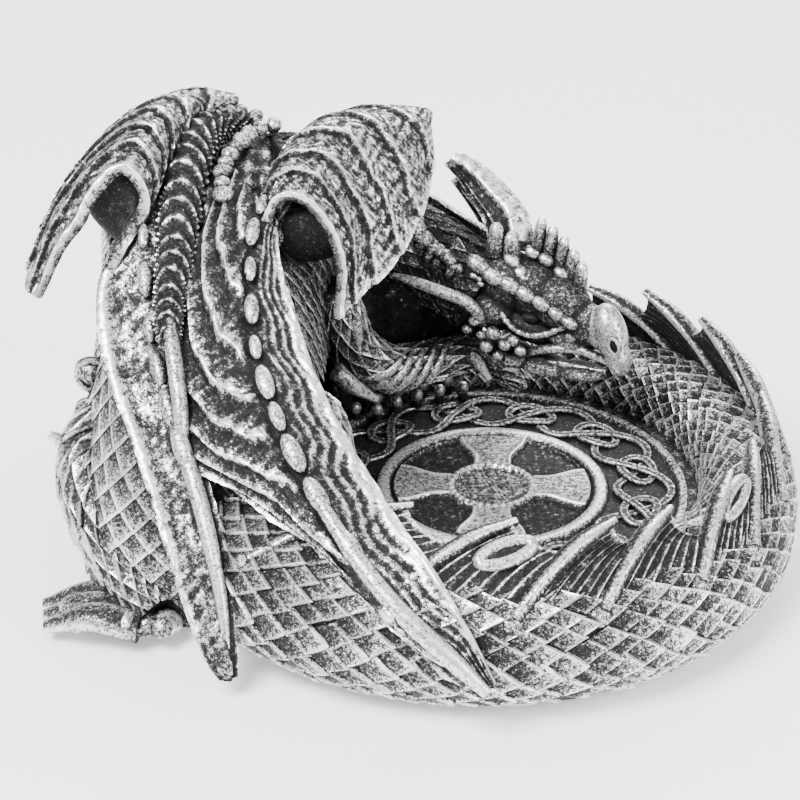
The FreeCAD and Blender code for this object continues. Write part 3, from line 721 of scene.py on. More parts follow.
rightWing = {
    "rows": [
        [(-71, 18, 101), (-66, 12, 98), (-62, 5, 95), (-60, 2, 90)],
        [(-77, 2, 90), (-71, -2, 91), (-64, -6, 89), (-57, -8, 83)],
        [(-81, -14, 78), (-72, -17, 81), (-63, -18, 80), (-52, -19, 76)],
        [(-82, -26, 67), (-72, -30, 71), (-61, -31, 73), (-48, -29, 69)],
        [(-81, -36, 57), (-70, -40, 62), (-57, -42, 66), (-43, -38, 62)],
        [(-79, -43, 50), (-66, -50, 55), (-52, -52, 59), (-36, -48, 54)],
        [(-62, -54, 45), (-55, -59, 49), (-45, -62, 50), (-30, -55, 48)],
        [(-44, -66, 40), (-40, -71, 41), (-34, -75, 40), (-23, -65, 43)],
        [(-32, -77, 35), (-28, -82, 34), (-22, -86, 31), (-14, -77, 38)],
        [(-17, -89, 26), (-14, -91, 25), (-9, -92, 23), (-5, -88, 29)],
        [(-3, -95, 17), (-2, -95.5, 16), (0, -95, 15), (2, -94, 17)],
    ],
    "wall": 2.4, "counts": (270, 110), "rolls": 10, "slant": 0.4, "deep": 1.6, "bone": 0.66, "rim": 0.97,
}


def rightWingRelief(u, v):
    # slanting rolls on the sail, a bone with beads beside it, a grained strip and a rounded leading edge
    sail = 1 - smoothStep(v, rightWing["bone"] - 0.1, rightWing["bone"] - 0.03)
    phase = (u - rightWing["slant"] * (v - 0.3) - 0.05 * np.sin(math.pi * v / 0.66)) * rightWing["rolls"]
    phase = phase + 0.1 * np.sin(13 * u) + 0.05 * np.sin(31 * v + 17 * u)
    roll = phase - np.floor(phase)
    crest = np.where(roll < 0.74, (roll / 0.74) ** 1.5, 1 - (roll - 0.74) / 0.26)
    hair = 0.5 + 0.5 * np.sin(tau * (phase * 6 + 0.4 * np.sin(23 * v)))
    strip = smoothStep(v, rightWing["bone"] + 0.05, rightWing["bone"] + 0.1)
    grain = 0.5 + 0.5 * np.sin(95 * v + 5 * np.sin(11 * u) + 2 * np.sin(47 * u))
    edge = bump(v, rightWing["rim"], 0.04)
    lower = bump(v, 0.0, 0.05) * smoothStep(u, 0.45, 0.55)
    lift = sail * (rightWing["deep"] * crest + 0.15 * hair) + strip * 0.35 * grain + 1.1 * edge + 0.9 * lower
    lift = lift - 0.5 * bump(v, rightWing["bone"], 0.05)
    worn = 0.08 + sail * (0.06 + 0.6 * crest**2 + 0.2 * hair * crest) + strip * (0.05 + 0.5 * grain**1.5)
    return lift, np.clip(worn + 0.7 * edge + 0.5 * lower, 0, 1)


leftWing = {
    "rows": [
        [(-82, 40, 107), (-84, 37, 108), (-86, 32, 108), (-88, 28, 106)],
        [(-84, 26, 103), (-87, 24, 103), (-89, 20, 102), (-92, 14, 98)],
        [(-86, 14, 96), (-89, 12, 96), (-92, 9, 95), (-97, 2, 90)],
        [(-85, 0, 86), (-88, -2, 87), (-92, -2, 87), (-103.5, -7, 80.5)],
        [(-84, -18, 72), (-86, -20, 73), (-89, -20, 72), (-103, -20, 71)],
        [(-81, -33, 60), (-82, -35, 62), (-84, -35, 61), (-98, -33, 61)],
        [(-77, -43, 51), (-77, -46, 51), (-78, -46, 50), (-92, -44, 53)],
        [(-71, -54, 41), (-71.5, -57, 40), (-73, -58, 38), (-86, -55, 42)],
        [(-66, -66, 28), (-66.5, -69, 26), (-68, -70, 24), (-80, -66, 30)],
        [(-64, -76, 15), (-64.5, -78, 13), (-66, -79, 11), (-73, -75, 16)],
        [(-64, -79, 6), (-64.3, -80, 5.5), (-64.8, -80.5, 5.5), (-66, -80, 6)],
    ],
    "wall": 2.4, "counts": (230, 80), "rim": 0.96,
}


def leftWingRelief(u, v):
    # a speckled sheet between a bone and a rounded leading edge
    edge = bump(v, leftWing["rim"], 0.05)
    bone = bump(v, 0.02, 0.09)
    wrinkle = 0.25 * np.sin(60 * u + 6 * v) * np.sin(11 * v + 4 * u)
    panel = smoothStep(v, 0.2, 0.45) * (1 - smoothStep(v, 0.85, 0.92))
    groove = smoothStep(v, 0.1, 0.2) * (1 - smoothStep(v, 0.3, 0.45))
    worn = 0.16 + 0.26 * panel + 0.7 * edge + 0.5 * bone + 0.5 * wrinkle - 0.2 * groove
    return 0.5 * wrinkle + 1.0 * edge + 0.8 * bone - 0.5 * groove, np.clip(worn, 0, 1)


pleat = {
    "path": [(-69, 41, 106), (-76, 36, 106.5), (-81.5, 30, 105), (-84, 20, 99.5), (-84.3, 6, 92.5),
             (-84.2, -6, 86), (-84.2, -16, 80), (-84, -24, 74.5), (-82.5, -30, 71)],
    "radii": [1.6, 3.4, 5.0, 5.6, 5.0, 4.2, 3.4, 2.6, 1.2],
    "ridge": [(-84, -20, 78.5), (-83, -27, 74.5), (-81, -34.5, 68.5), (-79, -42.5, 60), (-78.2, -47, 50.5),
              (-76, -52.5, 41)],
    "ribs": 20, "deep": 1.3, "grid": (300, 40),
}


def pleatPiece():
    # the roll of skin between the two rows of beads, with stacked arched ribs
    table = [[*p, r * 1.05, r] for p, r in zip(pleat["path"], pleat["radii"])]

    def relief(u, v):
        arch = (v - 0.25) * 4
        phase = (u - 0.085 * arch**2 + 0.004 * np.sin(40 * u)) * pleat["ribs"]
        saw = phase - np.floor(phase)
        crest = np.where(saw < 0.8, (saw / 0.8) ** 1.8, 1 - (saw - 0.8) / 0.2)
        streak = 0.12 * np.sin(tau * v * 30)
        worn = 0.12 + 0.7 * crest**2.5 + 2 * streak * crest
        return pleat["deep"] * crest + 0.1 * streak, np.clip(worn, 0, 1)

    return skin("pleat", Tube(resample(table, 40)), *pleat["grid"], relief)


def beadRow(name, path, count, long, wide, tall, lift=0.6, first=1.0, last=1.0, out=(0, -0.6, 0.8),
            worn=0.7):
    points = resample(path, count)
    ahead = np.gradient(points, axis=0)
    pieces = []
    for i, (point, step) in enumerate(zip(points, ahead)):
        share = first + (last - first) * i / max(count - 1, 1)
        size = share * (1 + 0.08 * chance.standard_normal())
        centre = point + np.array(out) * lift
        radii = (long * size, wide * size, tall * size)
        pieces.append(bead(f"{name}{i}", centre, radii, step, out, worn + 0.12 * chance.random()))
    return pieces


rightBone = [(-62, 4, 97), (-64, -6, 91), (-63, -18, 82), (-61, -31, 74.5), (-57, -42, 67.5),
             (-52, -52, 60.5),
             (-45, -62, 52), (-34, -75, 41.5), (-22, -86, 32), (-9, -93, 23), (0, -95.5, 15)]
leftBone = [(-84, 32, 110), (-90, 24, 107), (-92, 16, 102), (-93, 8, 96), (-92, -4, 88), (-89, -20, 74),
            (-84, -34, 63), (-78, -46, 52), (-72, -58, 39.5), (-67, -70, 25), (-64, -80, 7)]


def wingPieces():
    right = sheet("rightSail", rightWing["rows"], rightWing["wall"], rightWingRelief, rightWing["counts"])
    beads = beadRow("rightBead", rightBone[:8], 10, 5.2, 2.2, 1.6, lift=1.0, first=0.7, last=1.1, worn=0.55)
    spar = rod("rightSpar", np.array(rightBone[6:]) + [0, -0.6, 0.3], [1.6, 2.1, 2.4, 2.4, 1.6], around=14,
               worn=(0.6, 0.75))
    left = sheet("leftSail", leftWing["rows"], leftWing["wall"], leftWingRelief, leftWing["counts"])
    leftBeads = beadRow("leftBead", leftBone[:8], 12, 5.0, 2.0, 1.7, lift=1.6, first=0.55, last=1.15,
                        out=(-0.25, -0.75, 0.6), worn=0.55)
    leftSpar = rod("leftSpar", np.array(leftBone[6:]) + [0, -0.8, 0.3], [1.6, 2.1, 2.2, 1.7, 0.7], around=14,
                   worn=(0.6, 0.75))
    finish(joined("right_wing_cast", [right, *beads, spar]), castSilver, "right_wing")
    ridge = rod("pleatRidge", pleat["ridge"], [1.0, 1.9, 2.1, 2.0, 1.9, 1.4], around=12, worn=(0.5, 0.7))
    finish(joined("left_wing_cast", [left, *leftBeads, leftSpar, pleatPiece(), ridge]), castSilver,
           "left_wing")


wingPieces()
print("wings done")


# the curled tops of the wings; rows run from the mouth to the back, each round the arch

rightHood = {
    "rows": [
        [(-59, -2, 86), (-60, 2, 93), (-57, 5, 98), (-51, 5, 97), (-45, 3, 90), (-42, 1, 80), (-43, -3, 68)],
        [(-60, 4, 92), (-60, 8, 99), (-56, 11, 103), (-48, 11, 101), (-41, 9, 92), (-38, 6, 82),
         (-37, 3, 72)],
        [(-59, 10, 98), (-58, 15, 104), (-53, 18, 107), (-44, 18, 105), (-37, 16, 96), (-32, 13, 87),
         (-29, 10, 77)],
        [(-56, 18, 102), (-55, 22, 106), (-48, 26, 111), (-38, 26, 109), (-32, 24, 102), (-27, 21, 93),
         (-23, 19, 85)],
        [(-54, 26, 104), (-50, 30, 108), (-42, 34, 111), (-33, 34, 110), (-26, 33, 106), (-22, 31, 99),
         (-20, 29, 93)],
        [(-48, 36, 104), (-42, 40, 107), (-35, 42, 109.5), (-28, 44, 109), (-23, 45, 108.5),
         (-20, 46, 107.5), (-20.5, 44, 104)],
    ],
    "wall": 2.2, "counts": (220, 120), "ribs": [0.17, 0.33, 0.5, 0.68, 0.88], "rim": 0.025, "apex": 0.4,
}
leftHood = {
    "rows": [
        [(-104, -9, 80), (-99, -5, 89), (-94.5, 0, 95), (-94, 3, 100.5), (-98.7, 3, 106), (-105, 0, 100.5),
         (-108.5, -3, 94), (-114, -6, 87), (-119.5, -10, 75.5)],
        [(-100, -2, 86), (-95, 4, 94), (-91.5, 8, 101), (-92, 10, 106), (-97, 11, 110), (-105, 9, 106),
         (-111, 5, 99), (-117.5, 0, 90.5), (-122.5, -8, 77.5)],
        [(-95, 7, 93), (-91, 13, 100), (-89.5, 17, 106), (-90, 20, 110.5), (-95, 21, 113), (-102, 19, 110),
         (-109, 15, 104), (-115, 10, 97), (-120.5, 2, 87)],
        [(-91, 16, 98), (-88, 21, 103), (-86.5, 25, 108), (-86.5, 29, 112), (-91, 31, 114), (-98, 29, 112),
         (-105, 25, 107.5), (-110.5, 19, 102), (-116, 11, 95)],
        [(-87, 26, 101), (-84.5, 31, 105), (-82.5, 35, 109), (-81.5, 39, 112.5), (-85, 41, 113.5),
         (-91, 40, 112.5), (-97, 36, 109.5), (-103, 31, 106), (-108, 24, 101)],
        [(-80, 36, 102), (-77.5, 40, 105), (-75, 44, 107.5), (-73, 47, 109.5), (-75, 49, 110),
         (-80, 49, 109.5), (-86, 47, 108), (-92, 43, 106), (-97, 37, 102)],
    ],
    "wall": 2.2, "counts": (220, 130), "ribs": [0.16, 0.3, 0.45, 0.62, 0.82], "rim": 0.025, "apex": 0.5,
}


def hoodRelief(hood):
    # nested arches: each has a sharp bright edge with a dark undercut before it and a worn slope behind it
    def relief(u, v):
        lift, worn = np.zeros_like(u), np.full_like(u, 0.44)
        apex = np.abs(v - hood["apex"])
        bend = 0.12 * apex - 0.035 + 0.008 * np.sin(23 * v) + 0.005 * np.sin(53 * v + 20 * u)
        for i, place in enumerate(hood["ribs"]):
            w = u + bend
            behind = np.clip((w - place) / 0.13, 0, 1)
            step = smoothStep(w, place - 0.012, place) * (1 - behind) ** 1.2
            lift += (1.25 - 0.1 * i) * step
            worn += 0.4 * bump(w, place + 0.01, 0.011) - 0.34 * bump(w, place - 0.016, 0.014) + 0.03 * step
        fine = np.sin(110 * v + 7 * np.sin(24 * u) + 14 * u)
        lip = bump(u, hood["rim"], 0.03)
        side = bump(v, 1.0, 0.03) + bump(v, 0.0, 0.03)
        worn = worn + 0.6 * lip + 0.35 * side + 0.09 * fine
        return lift + 1.3 * lip + 0.7 * side + 0.07 * fine, np.clip(worn, 0, 1)

    return relief


def hoodPiece(name, hood, node):
    piece = sheet(name, hood["rows"], hood["wall"], hoodRelief(hood), hood["counts"])
    return finish(piece, castSilver, node)


hoodPiece("right_hood_cast", rightHood, "right_wing_hood")
hoodPiece("left_hood_cast", leftHood, "left_wing_hood")
# dark fills in the mouths of the hoods: lumps set to low wear with the silver with painted shade, painted
# near black as the shade inside the curled hoods
hoodShade = {"left_hood_shade": [((-99, 8, 94), (9, 4, 15), (0.75, 0, 0.65)),
                               ((-96, 14, 90), (8, 5, 14), (0, 0.3, 1))],
          "right_hood_shade": [((-50, 11, 86), (8, 4, 15), (0.2, 0, -1))]}
for label, lumps in hoodShade.items():
    hollow = melted(label, balls(label, lumps), grain=0.8)
    setWorn(hollow, 0.12)
    finish(hollow, shadedSilver)
print("hoods done")


# the shoulders between the wings; each place has its half width and half height

shoulder = {
    "path": [(-76, 4, 88, 5, 5), (-74, 12, 91, 8, 6), (-71, 22, 93, 11, 7), (-68, 32, 95.5, 12, 7),
             (-64, 40, 95, 11, 8)],
    "back": [(-60, 2, 88, 3, 3), (-62, 10, 91, 5, 4), (-61, 22, 94, 7, 5), (-57, 32, 96, 8, 5),
             (-53, 40, 96, 8, 6)],
}
spineLine = [(-62, 38, 105.5), (-67, 34, 105), (-70, 30, 103.8), (-72, 26, 102.5), (-73.4, 21, 101),
             (-73.7, 15, 99.4), (-72.7, 8, 97.5)]


def shoulderPiece():
    def rough(u, v):
        lumps = np.sin(31 * u + 5 * np.sin(tau * v * 2)) * np.sin(tau * v * 7 + 9 * u)
        return 0.7 * lumps, 0.3 + 0.35 * lumps

    yoke = skin("yoke", Tube(resample(shoulder["path"], 20)), 60, 60, rough)
    back = skin("back", Tube(resample(shoulder["back"], 20)), 60, 60, rough)
    finish(joined("shoulder_cast", [yoke, back]), castSilver, "shoulder_yoke")
    row = beadRow("spineBead", spineLine, 10, 2.2, 2.4, 1.7, lift=2.0, out=(0.1, -0.7, 0.75), worn=0.5)
    far = np.linspace(0, 0.34, 6)
    pleatTube = Tube([[*p, r + 1.5, r + 1.5] for p, r in zip(pleat["path"], pleat["radii"])])
    backLine = np.vstack([spineLine[0], pleatTube.at(far, 0.05 + 0 * far)])
    row += beadRow("backBead", backLine, 11, 2.1, 2.3, 1.8, lift=0.6, out=(0, -0.5, 0.85), worn=0.45)
    finish(joined("spine_beads_cast", row), castSilver, "spine_beads")


shoulderPiece()
print("shoulders done")


# the neck, its crest and the throat under it, with painted shade on the neck and throat

neckLine = {
    "path": [(-64, 32, 92, 14, 13), (-56, 36, 90, 14, 13.5), (-47, 41, 85, 13.5, 13), (-36, 46, 76, 13, 13),
             (-26, 48, 67, 13, 12.5), (-14, 47, 60, 13, 12.5), (-4, 43, 54, 12.5, 12)],
    "shrink": 0.93, "rows": 17, "around": 20, "height": 1.3,
    "spine": {"count": 11, "span": (0.57, 0.88), "turn": 0.105, "lift": 0.9},
    "grit": {"count": 34, "from": (-44, 42.5, 40), "step": (1.1, 0.12, -0.1), "spread": (1, 0.6, 6)},
    "crestThick": 2.2, "crestGrid": (80, 40), "grid": (90, 90),
    "throat": [((-32, 46, 50), (13, 7, 16), (1, 0, 0)), ((-17, 49, 44), (14, 5, 12), (1, 0, -0.2)),
               ((-41, 43, 42), (7, 7, 20), (1, 0, 0)), ((-46, 52, 13), (9, 9, 11), (1, 0, 0)),
               ((-30, 54, 30), (14, 5, 12), (1, 0, 0))],
    "crest": [(-25, 56, 81, 6), (-19.6, 55, 78.5, 7), (-12.5, 54.5, 74, 7.5), (-6, 52, 71, 7),
              (-1, 50, 68.8, 5)],
}


def neckTube():
    table = np.array(neckLine["path"], float)
    table[:, 3:] *= neckLine["shrink"]
    return Tube(resample(table, 20))


def neckPiece():
    def rough(u, v):
        pebbles = np.sin(95 * u + 3 * np.sin(tau * 3 * v)) * np.sin(tau * v * 19)
        return 0.35 * pebbles, 0.05 + 0.1 * pebbles

    body = skin("neck_body", neckTube(), *neckLine["grid"], rough)
    # painted shade: the neck scales are rubbed back less than on the tail, so the neck reads dark as in shade
    cover = scales("neck_scales", neckTube(), neckLine["rows"], neckLine["around"], neckLine["height"],
                   wear=0.5)
    knobs = []
    row, tube = neckLine["spine"], neckTube()
    for i, u in enumerate(np.linspace(*row["span"], row["count"])):
        size = 3.0 - 0.12 * i
        spot = tube.at(u, row["turn"]) + row["lift"] * tube.normal(u, row["turn"])
        spot = spot + chance.normal(0, 0.3, 3)
        radii = (size * 1.1, size * 0.9, size * 0.8)
        knobs.append(bead(f"vertebra{i}", spot, radii, (1, -0.2, -0.6), (0, -0.6, 0.8), 0.55))
        if i % 2:
            low = spot + [1.2, -1.4, -4.2]
            knobs.append(bead(f"rib{i}", low, (1.5, 2.4, 1.0), (1, -0.2, -0.4), (0, -0.8, 0.5), 0.4))
    # the neck takes the silver with painted shade
    finish(joined("neck_cast", [body, cover, *knobs]), shadedSilver, "neck")


def throatPiece():
    # the chest under the neck, painted near black as the shade in the hollow under the neck
    throat = melted("throat_cast", balls("throat", neckLine["throat"]), grain=0.9)
    points = np.array([v.co for v in throat.data.vertices]) / mm
    rough = castGrain(points, 3.2)
    out = np.array([v.normal for v in throat.data.vertices])
    points = (points + 0.5 * out * rough[:, None]) * mm
    throat.data.vertices.foreach_set("co", points.astype(np.float32).ravel())
    # low wear values with a little grain paint the throat dark as shade, and it takes the silver with painted
    # shade
    setWorn(throat, 0)
    worn = np.clip(0.14 + 0.4 * rough, 0, 1).astype(np.float32)
    throat.data.attributes["raised"].data.foreach_set("value", worn)
    pebbles = []
    grit = neckLine["grit"]
    for i in range(grit["count"]):
        spot = np.array(grit["from"]) + np.array(grit["step"]) * i + chance.normal(0, grit["spread"])
        pebbles.append(bead(f"grit{i}", spot, (1.0, 0.8, 0.8), (1, 0, 0.3), (0, -1, 0.2), 0.5, detail=2))
    finish(joined("throat_cast", [throat, *pebbles]), shadedSilver)


def crestPiece():
    rows = []
    for x, y, z, tall in neckLine["crest"]:
        top = np.array([x, y, z])
        rows.append([top + np.array([-0.1, 0.1, -1]) * tall * s for s in (2.0, 1.4, 0.7, 0)])

    def relief(u, v):
        edge = smoothStep(v, 0.86, 0.95)
        line = np.abs(np.cos(9 * math.pi * u)) ** 14
        return 0.7 * edge + 0.35 * line, np.clip(0.08 + 0.9 * edge + 0.4 * line, 0, 1)

    piece = sheet("neck_crest_cast", rows, neckLine["crestThick"], relief, neckLine["crestGrid"])
    finish(piece, castSilver, "neck_crest")


neckPiece()
throatPiece()
crestPiece()
print("neck done")


# the head

head = {
    "lumps": [
        ((3, 39, 60), (11, 9, 9), (1, -0.5, -0.4)), ((11, 36, 59), (11, 8.5, 8.5), (1, -0.55, -0.5)),
        ((18, 31, 57), (10, 7.5, 8), (1, -0.6, -0.55)), ((25, 26.5, 53), (7, 5.5, 6.5), (1, -0.6, -0.5)),
        ((0, 38, 53), (8, 9, 7), (1, -0.4, -0.5)), ((10, 34, 49), (11, 6, 5), (1, -0.5, -0.2)),
        ((20, 28, 48.5), (9, 5, 3.5), (1, -0.6, -0.25)),
    ],
    "brow": [(-5.4, 34, 67), (-1.1, 31.6, 64.5), (3.6, 29.8, 62.8), (8, 28, 61), (12.5, 25.8, 59.2),
             (16.8, 23.8, 57.2), (20.4, 22.4, 55.2)],
    "lid": [(1.5, 30.5, 54), (2.8, 29.5, 52), (5.7, 28, 49.9), (9.5, 27, 48.8), (13.6, 25.6, 49.9),
            (17.3, 24.6, 52), (20, 24.2, 54)],
    "eye": (9.6, 28.8, 53.4), "gritRow": 23, "gritRows": 2,
    "upperLip": [(7, 29.5, 40.5), (10.5, 28, 43), (15.2, 26, 45.2), (22.5, 23.3, 46.6), (27.1, 21.8, 45.7),
                 (31.3, 20.6, 44.4)],
    "cheek": [(-4, 28.5, 47.8), (-0.7, 28, 48.7), (2.6, 27, 45.6), (-2.5, 27.5, 44.7), (0.8, 27, 42.2),
              (7.1, 26.2, 44.2), (21, 23.4, 50.2),
              (24.2, 22.6, 50.8), (-6, 30, 51.5), (-8, 31.5, 48), (5, 27.5, 46.8)],
    "scutes": [(11, 32, 63.8), (14, 30.5, 61.6), (17.8, 32.5, 65.6), (18.3, 30, 62.6), (21, 28.5, 61.5),
               (13.6, 35, 68.5), (9.8, 37, 69.8),
               (22.6, 27, 58.9), (25.4, 25.4, 57.2), (7, 33, 65), (4, 35, 68)],
}


def skullPiece():
    face = melted("skull_skin", balls("lump", head["lumps"]))
    # bulges are rubbed bright and dips keep their patina, while the low range of wear and the silver with
    # painted shade darken the whole head as painted shade
    wearByShape(face, 0.05, 0.55)
    knobs = []
    for i, spot in enumerate(head["brow"]):
        size = 2.9 - 0.15 * i
        radii = (size * 1.35, size * 0.85, size * 0.8)
        knobs.append(bead(f"brow{i}", spot, radii, (1, -0.45, -0.5), (0, -0.6, 0.8), 0.6))
    lid = resample(head["lid"], 30)
    knobs.append(rod("lidEdge", lid, [0.95] * 30, around=10, steps=1, worn=(0.6, 0.6)))
    for i, spot in enumerate(lid[2::3]):
        knobs.append(bead(f"lid{i}", spot, (1.2, 1.0, 1.1), (1, -0.4, 0), (0, -0.9, 0.3), 0.75))
    lip = [0.8, 1.3, 1.5, 1.4, 1.3, 1.2]
    knobs.append(rod("upperLip", head["upperLip"], lip, around=12, worn=(0.5, 0.8)))
    for i, spot in enumerate(head["cheek"]):
        size = 1.7 * (1 + 0.15 * chance.standard_normal())
        radii = (size, size * 0.85, size * 0.8)
        knobs.append(bead(f"cheek{i}", spot, radii, (1, -0.4, -0.2), (0, -1, 0), 0.6))
    for i, spot in enumerate(head["scutes"]):
        size = 2.6 * (1 + 0.12 * chance.standard_normal())
        radii = (size, size * 0.75, 1.6)
        knobs.append(bead(f"scute{i}", spot, radii, (1, -0.6, -0.6), (-0.2, -0.5, 0.8), 0.7))
    each = head["gritRow"]
    for i in range(each * head["gritRows"]):
        u, side = i % each / (each - 1), i // each
        spot = np.array([-6 + 28 * u, 30.5 - 5 * u, 60 - 8 * u]) + [0, 2.0 + 1.5 * side, 4.0 + 3.4 * side]
        spot = spot + chance.normal(0, 0.7, 3) * [1, 0.2, 0.6]
        knobs.append(bead(f"grit{i}", spot, (1.3, 1.0, 1.0), (1, -0.4, -0.3), (0, -0.8, 0.5), 0.7, detail=2))
    knobs.append(bead("eyeball", head["eye"], (2.6, 1.5, 1.7), (1, -0.5, 0), (0, -1, 0.2), 0.15))
    finish(joined("skull_cast", [face, *knobs]), shadedSilver, "skull")


beak = {
    "lumps": [((31.9, 21.4, 53), (8.6, 4.6, 4.6), (5.7, -6, -19.2)),
              ((33.8, 19.6, 47.5), (6.6, 3.6, 3.7), (5.7, -6, -19.2)),
              ((29, 24, 53), (6.5, 4.6, 4.6), (5.7, -6, -19.2))],
    "nostril": (32.6, 16.5, 51.3), "along": (0.3, 0.05, -1), "across": (1, -0.25, 0.3),
    "long": 2.5, "wide": 1.3, "rim": 0.45,
}
jaw = {
    "lumps": [((4, 33, 40), (9, 6, 3.4), (1, -0.4, 0)), ((14, 28.5, 39), (9, 5, 3), (1, -0.5, 0)),
              ((24, 24, 39.5), (8, 4.4, 2.6), (1, -0.5, 0.1))],
    "lip": [(8, 29, 38), (13, 26.8, 40), (18.1, 24.7, 41.3), (24.6, 22.3, 41.2), (31, 20.3, 41.3)],
    "lipRadii": [0.7, 1.0, 1.1, 1.1, 0.9],
}


def beakPiece():
    shell = melted("beak_skin", balls("beak", beak["lumps"]), grain=0.4)
    wearByShape(shell, 0.5, 0.75, 0.2)
    middle = np.array(beak["nostril"])
    along, across = unit(np.array(beak["along"])), unit(np.array(beak["across"]))
    turns = np.linspace(0, tau, 17)
    ring = [middle + along * beak["long"] * math.cos(t) + across * beak["wide"] * math.sin(t) for t in turns]
    rim = skin("nostrilRim", Tube([[*p, beak["rim"], beak["rim"]] for p in ring], up=(0, 1, 0)), 33, 8,
               raised=0.8)
    hole = bead("nostril", middle + [0, 0.3, 0], (2.3, 1.15, 0.8), along, (0, -1, 0), 0.0)
    finish(joined("beak_cast", [shell, rim, hole]), smoothSilver, "beak")


def jawPiece():
    bone = melted("jaw_skin", balls("jaw", jaw["lumps"]), grain=0.5)
    # bulges and dips give wear and patina, while the low range of wear and the silver with painted shade
    # darken the jaw as painted shade
    wearByShape(bone, 0.1, 0.5)
    lip = rod("lowerLip", jaw["lip"], jaw["lipRadii"], around=12, worn=(0.5, 0.65))
    finish(joined("jaw_cast", [bone, lip]), shadedSilver, "lower_jaw")


hornSet = {
    "right": [[(-1, 43, 69), (1.5, 41.5, 70.5), (5.5, 41, 71), (9.5, 42, 69)],
              [(-3.5, 46, 75.5), (-0.5, 45, 76.5), (4, 45, 77), (7.5, 46, 76)],
              [(-8.5, 51, 81), (-5.8, 50, 81), (-1.5, 50, 82), (2, 51, 81.5)],
              [(-13, 56, 85), (-11, 55.5, 85.3), (-8, 55.5, 86.3), (-5, 56.2, 86.5)],
              [(-15, 58, 87), (-14.3, 58, 87.6), (-13, 58, 88.2), (-11.5, 58.4, 88.3)]],
    "left": [[(2, 51, 62), (4, 50, 63.5), (7.5, 50, 64.5), (11, 51, 63)],
             [(-3, 55, 67), (-0.5, 54.5, 68), (3, 54.5, 69), (6, 55.5, 68.5)],
             [(-7, 60, 71.5), (-5, 59.5, 72), (-2, 59.5, 73), (1, 60.5, 73)],
             [(-11, 65, 76), (-9.8, 64.6, 76.5), (-8, 64.6, 77), (-6, 65.4, 77)],
             [(-13, 67, 78), (-12.4, 67, 78.5), (-11.4, 67, 79), (-10.3, 67.4, 79)]],
    "wall": 3.4, "grid": (60, 36),
    "cheeks": [
        ([(-3.5, 31, 50), (-5, 30, 53.5), (-8.6, 29.5, 57.6), (-15.8, 29.5, 60.8), (-22.9, 30.5, 63),
          (-29.1, 32, 64.5)], [1.3, 1.7, 1.8, 1.7, 1.5, 0.6]),
        ([(-2, 48, 50), (-9, 50, 53), (-17, 53, 56), (-24, 56, 58)], [2.0, 1.9, 1.5, 0.6]),
    ],
}
spikeSet = [
    ((10.8, 38.5, 68), (12.3, 38, 80)), ((14.5, 37.5, 67), (15.4, 37, 78)),
    ((17.7, 35.5, 66), (18.7, 35.5, 75.5)),
    ((20.6, 33, 64), (21.3, 33.5, 72.6)), ((22.9, 31, 61.5), (23.6, 31.5, 69.6)),
    ((-1, 37.5, 68), (-0.3, 39.5, 77.5)), ((4, 36.5, 67), (3.7, 38.5, 75.2)),
]


def hornRelief(u, v):
    # a leaf-shaped horn: a broad bright roll on the high side and a dark grooved panel on the low side
    roll = smoothStep(v, 0.45, 0.6)
    edge = bump(v, 0.0, 0.08)
    vein = bump(v, 0.24, 0.03) * (1 - smoothStep(u, 0.6, 0.9))
    tip = smoothStep(u, 0.8, 0.95)
    lift = 1.1 * roll + 0.6 * edge + 0.5 * vein + 0.5 * tip
    return lift, np.clip(0.1 + 0.62 * roll + 0.5 * edge + 0.5 * vein + 0.5 * tip, 0, 0.85)


def hornPieces():
    for side in ("right", "left"):
        horn = sheet(f"{side}_horn_cast", hornSet[side], hornSet["wall"], hornRelief, hornSet["grid"])
        finish(horn, castSilver, f"{side}_horn")
    cheeks = []
    for i, (path, radii) in enumerate(hornSet["cheeks"]):
        cheeks.append(rod(f"cheekHorn{i}", path, radii, around=16, steps=8, worn=(0.55, 0.65)))
    finish(joined("cheek_horns_cast", cheeks), castSilver, "cheek_horns")
    rods = []
    for i, (foot, tip) in enumerate(spikeSet):
        foot, tip = np.array(foot), np.array(tip)
        points = [foot, foot + (tip - foot) * 0.45, foot + (tip - foot) * 0.85, tip]
        rods.append(rod(f"crown{i}", points, [2.6, 2.4, 1.9, 0.8], around=14, flat=0.8, worn=(0.25, 0.8)))
    finish(joined("crown_cast", rods), castSilver, "crown_spikes")


skullPiece()
beakPiece()
jawPiece()
hornPieces()
print("head done")


# the legs

limbs = {
    "right_foreleg": {
        "path": [(-45, 21, 66, 5, 5), (-43, 22, 56, 6, 6), (-40, 25, 45, 6.3, 6.3), (-31, 30, 36, 6, 6),
                 (-19, 38, 34, 5.3, 5.3),
                 (-6, 44, 34.5, 4.8, 4.5), (2, 46, 28, 3.6, 3.6), (8, 46, 23, 2, 2)],
        "cuffs": {"count": 5, "from": 0.44, "step": 0.048, "slant": 0.12, "turn": (1.0, 0.68), "lift": 0.6},
        "rows": 17, "around": 12, "height": 1.2},
    "left_foreleg": {
        "path": [(-104, 58, 62, 5, 5), (-107, 58, 50, 6, 6), (-109, 60, 36, 6, 6), (-109, 64, 22, 5.5, 5.5),
                 (-108, 67, 10, 4, 4)],
        "rows": 14, "around": 12, "height": 1.1},
    "left_hind_leg": {
        "path": [(-93, -6, 46, 7, 7), (-98, -14, 44, 8.5, 8.5), (-106, -23, 36, 8.5, 8.5),
                 (-104, -34, 25, 7.5, 7.5), (-94, -47, 14, 6.2, 6.2), (-86, -55, 8, 4.5, 4.5)],
        "rows": 16, "around": 13, "height": 1.6},
    "right_hind_leg": {
        "path": [(-50, -14, 50, 4, 4), (-46, -18, 44, 6.5, 6.5), (-43, -24, 34, 6.3, 6.3),
                 (-44, -29, 25, 4.4, 4.4)],
        "rows": 10, "around": 12, "height": 1.2},
}


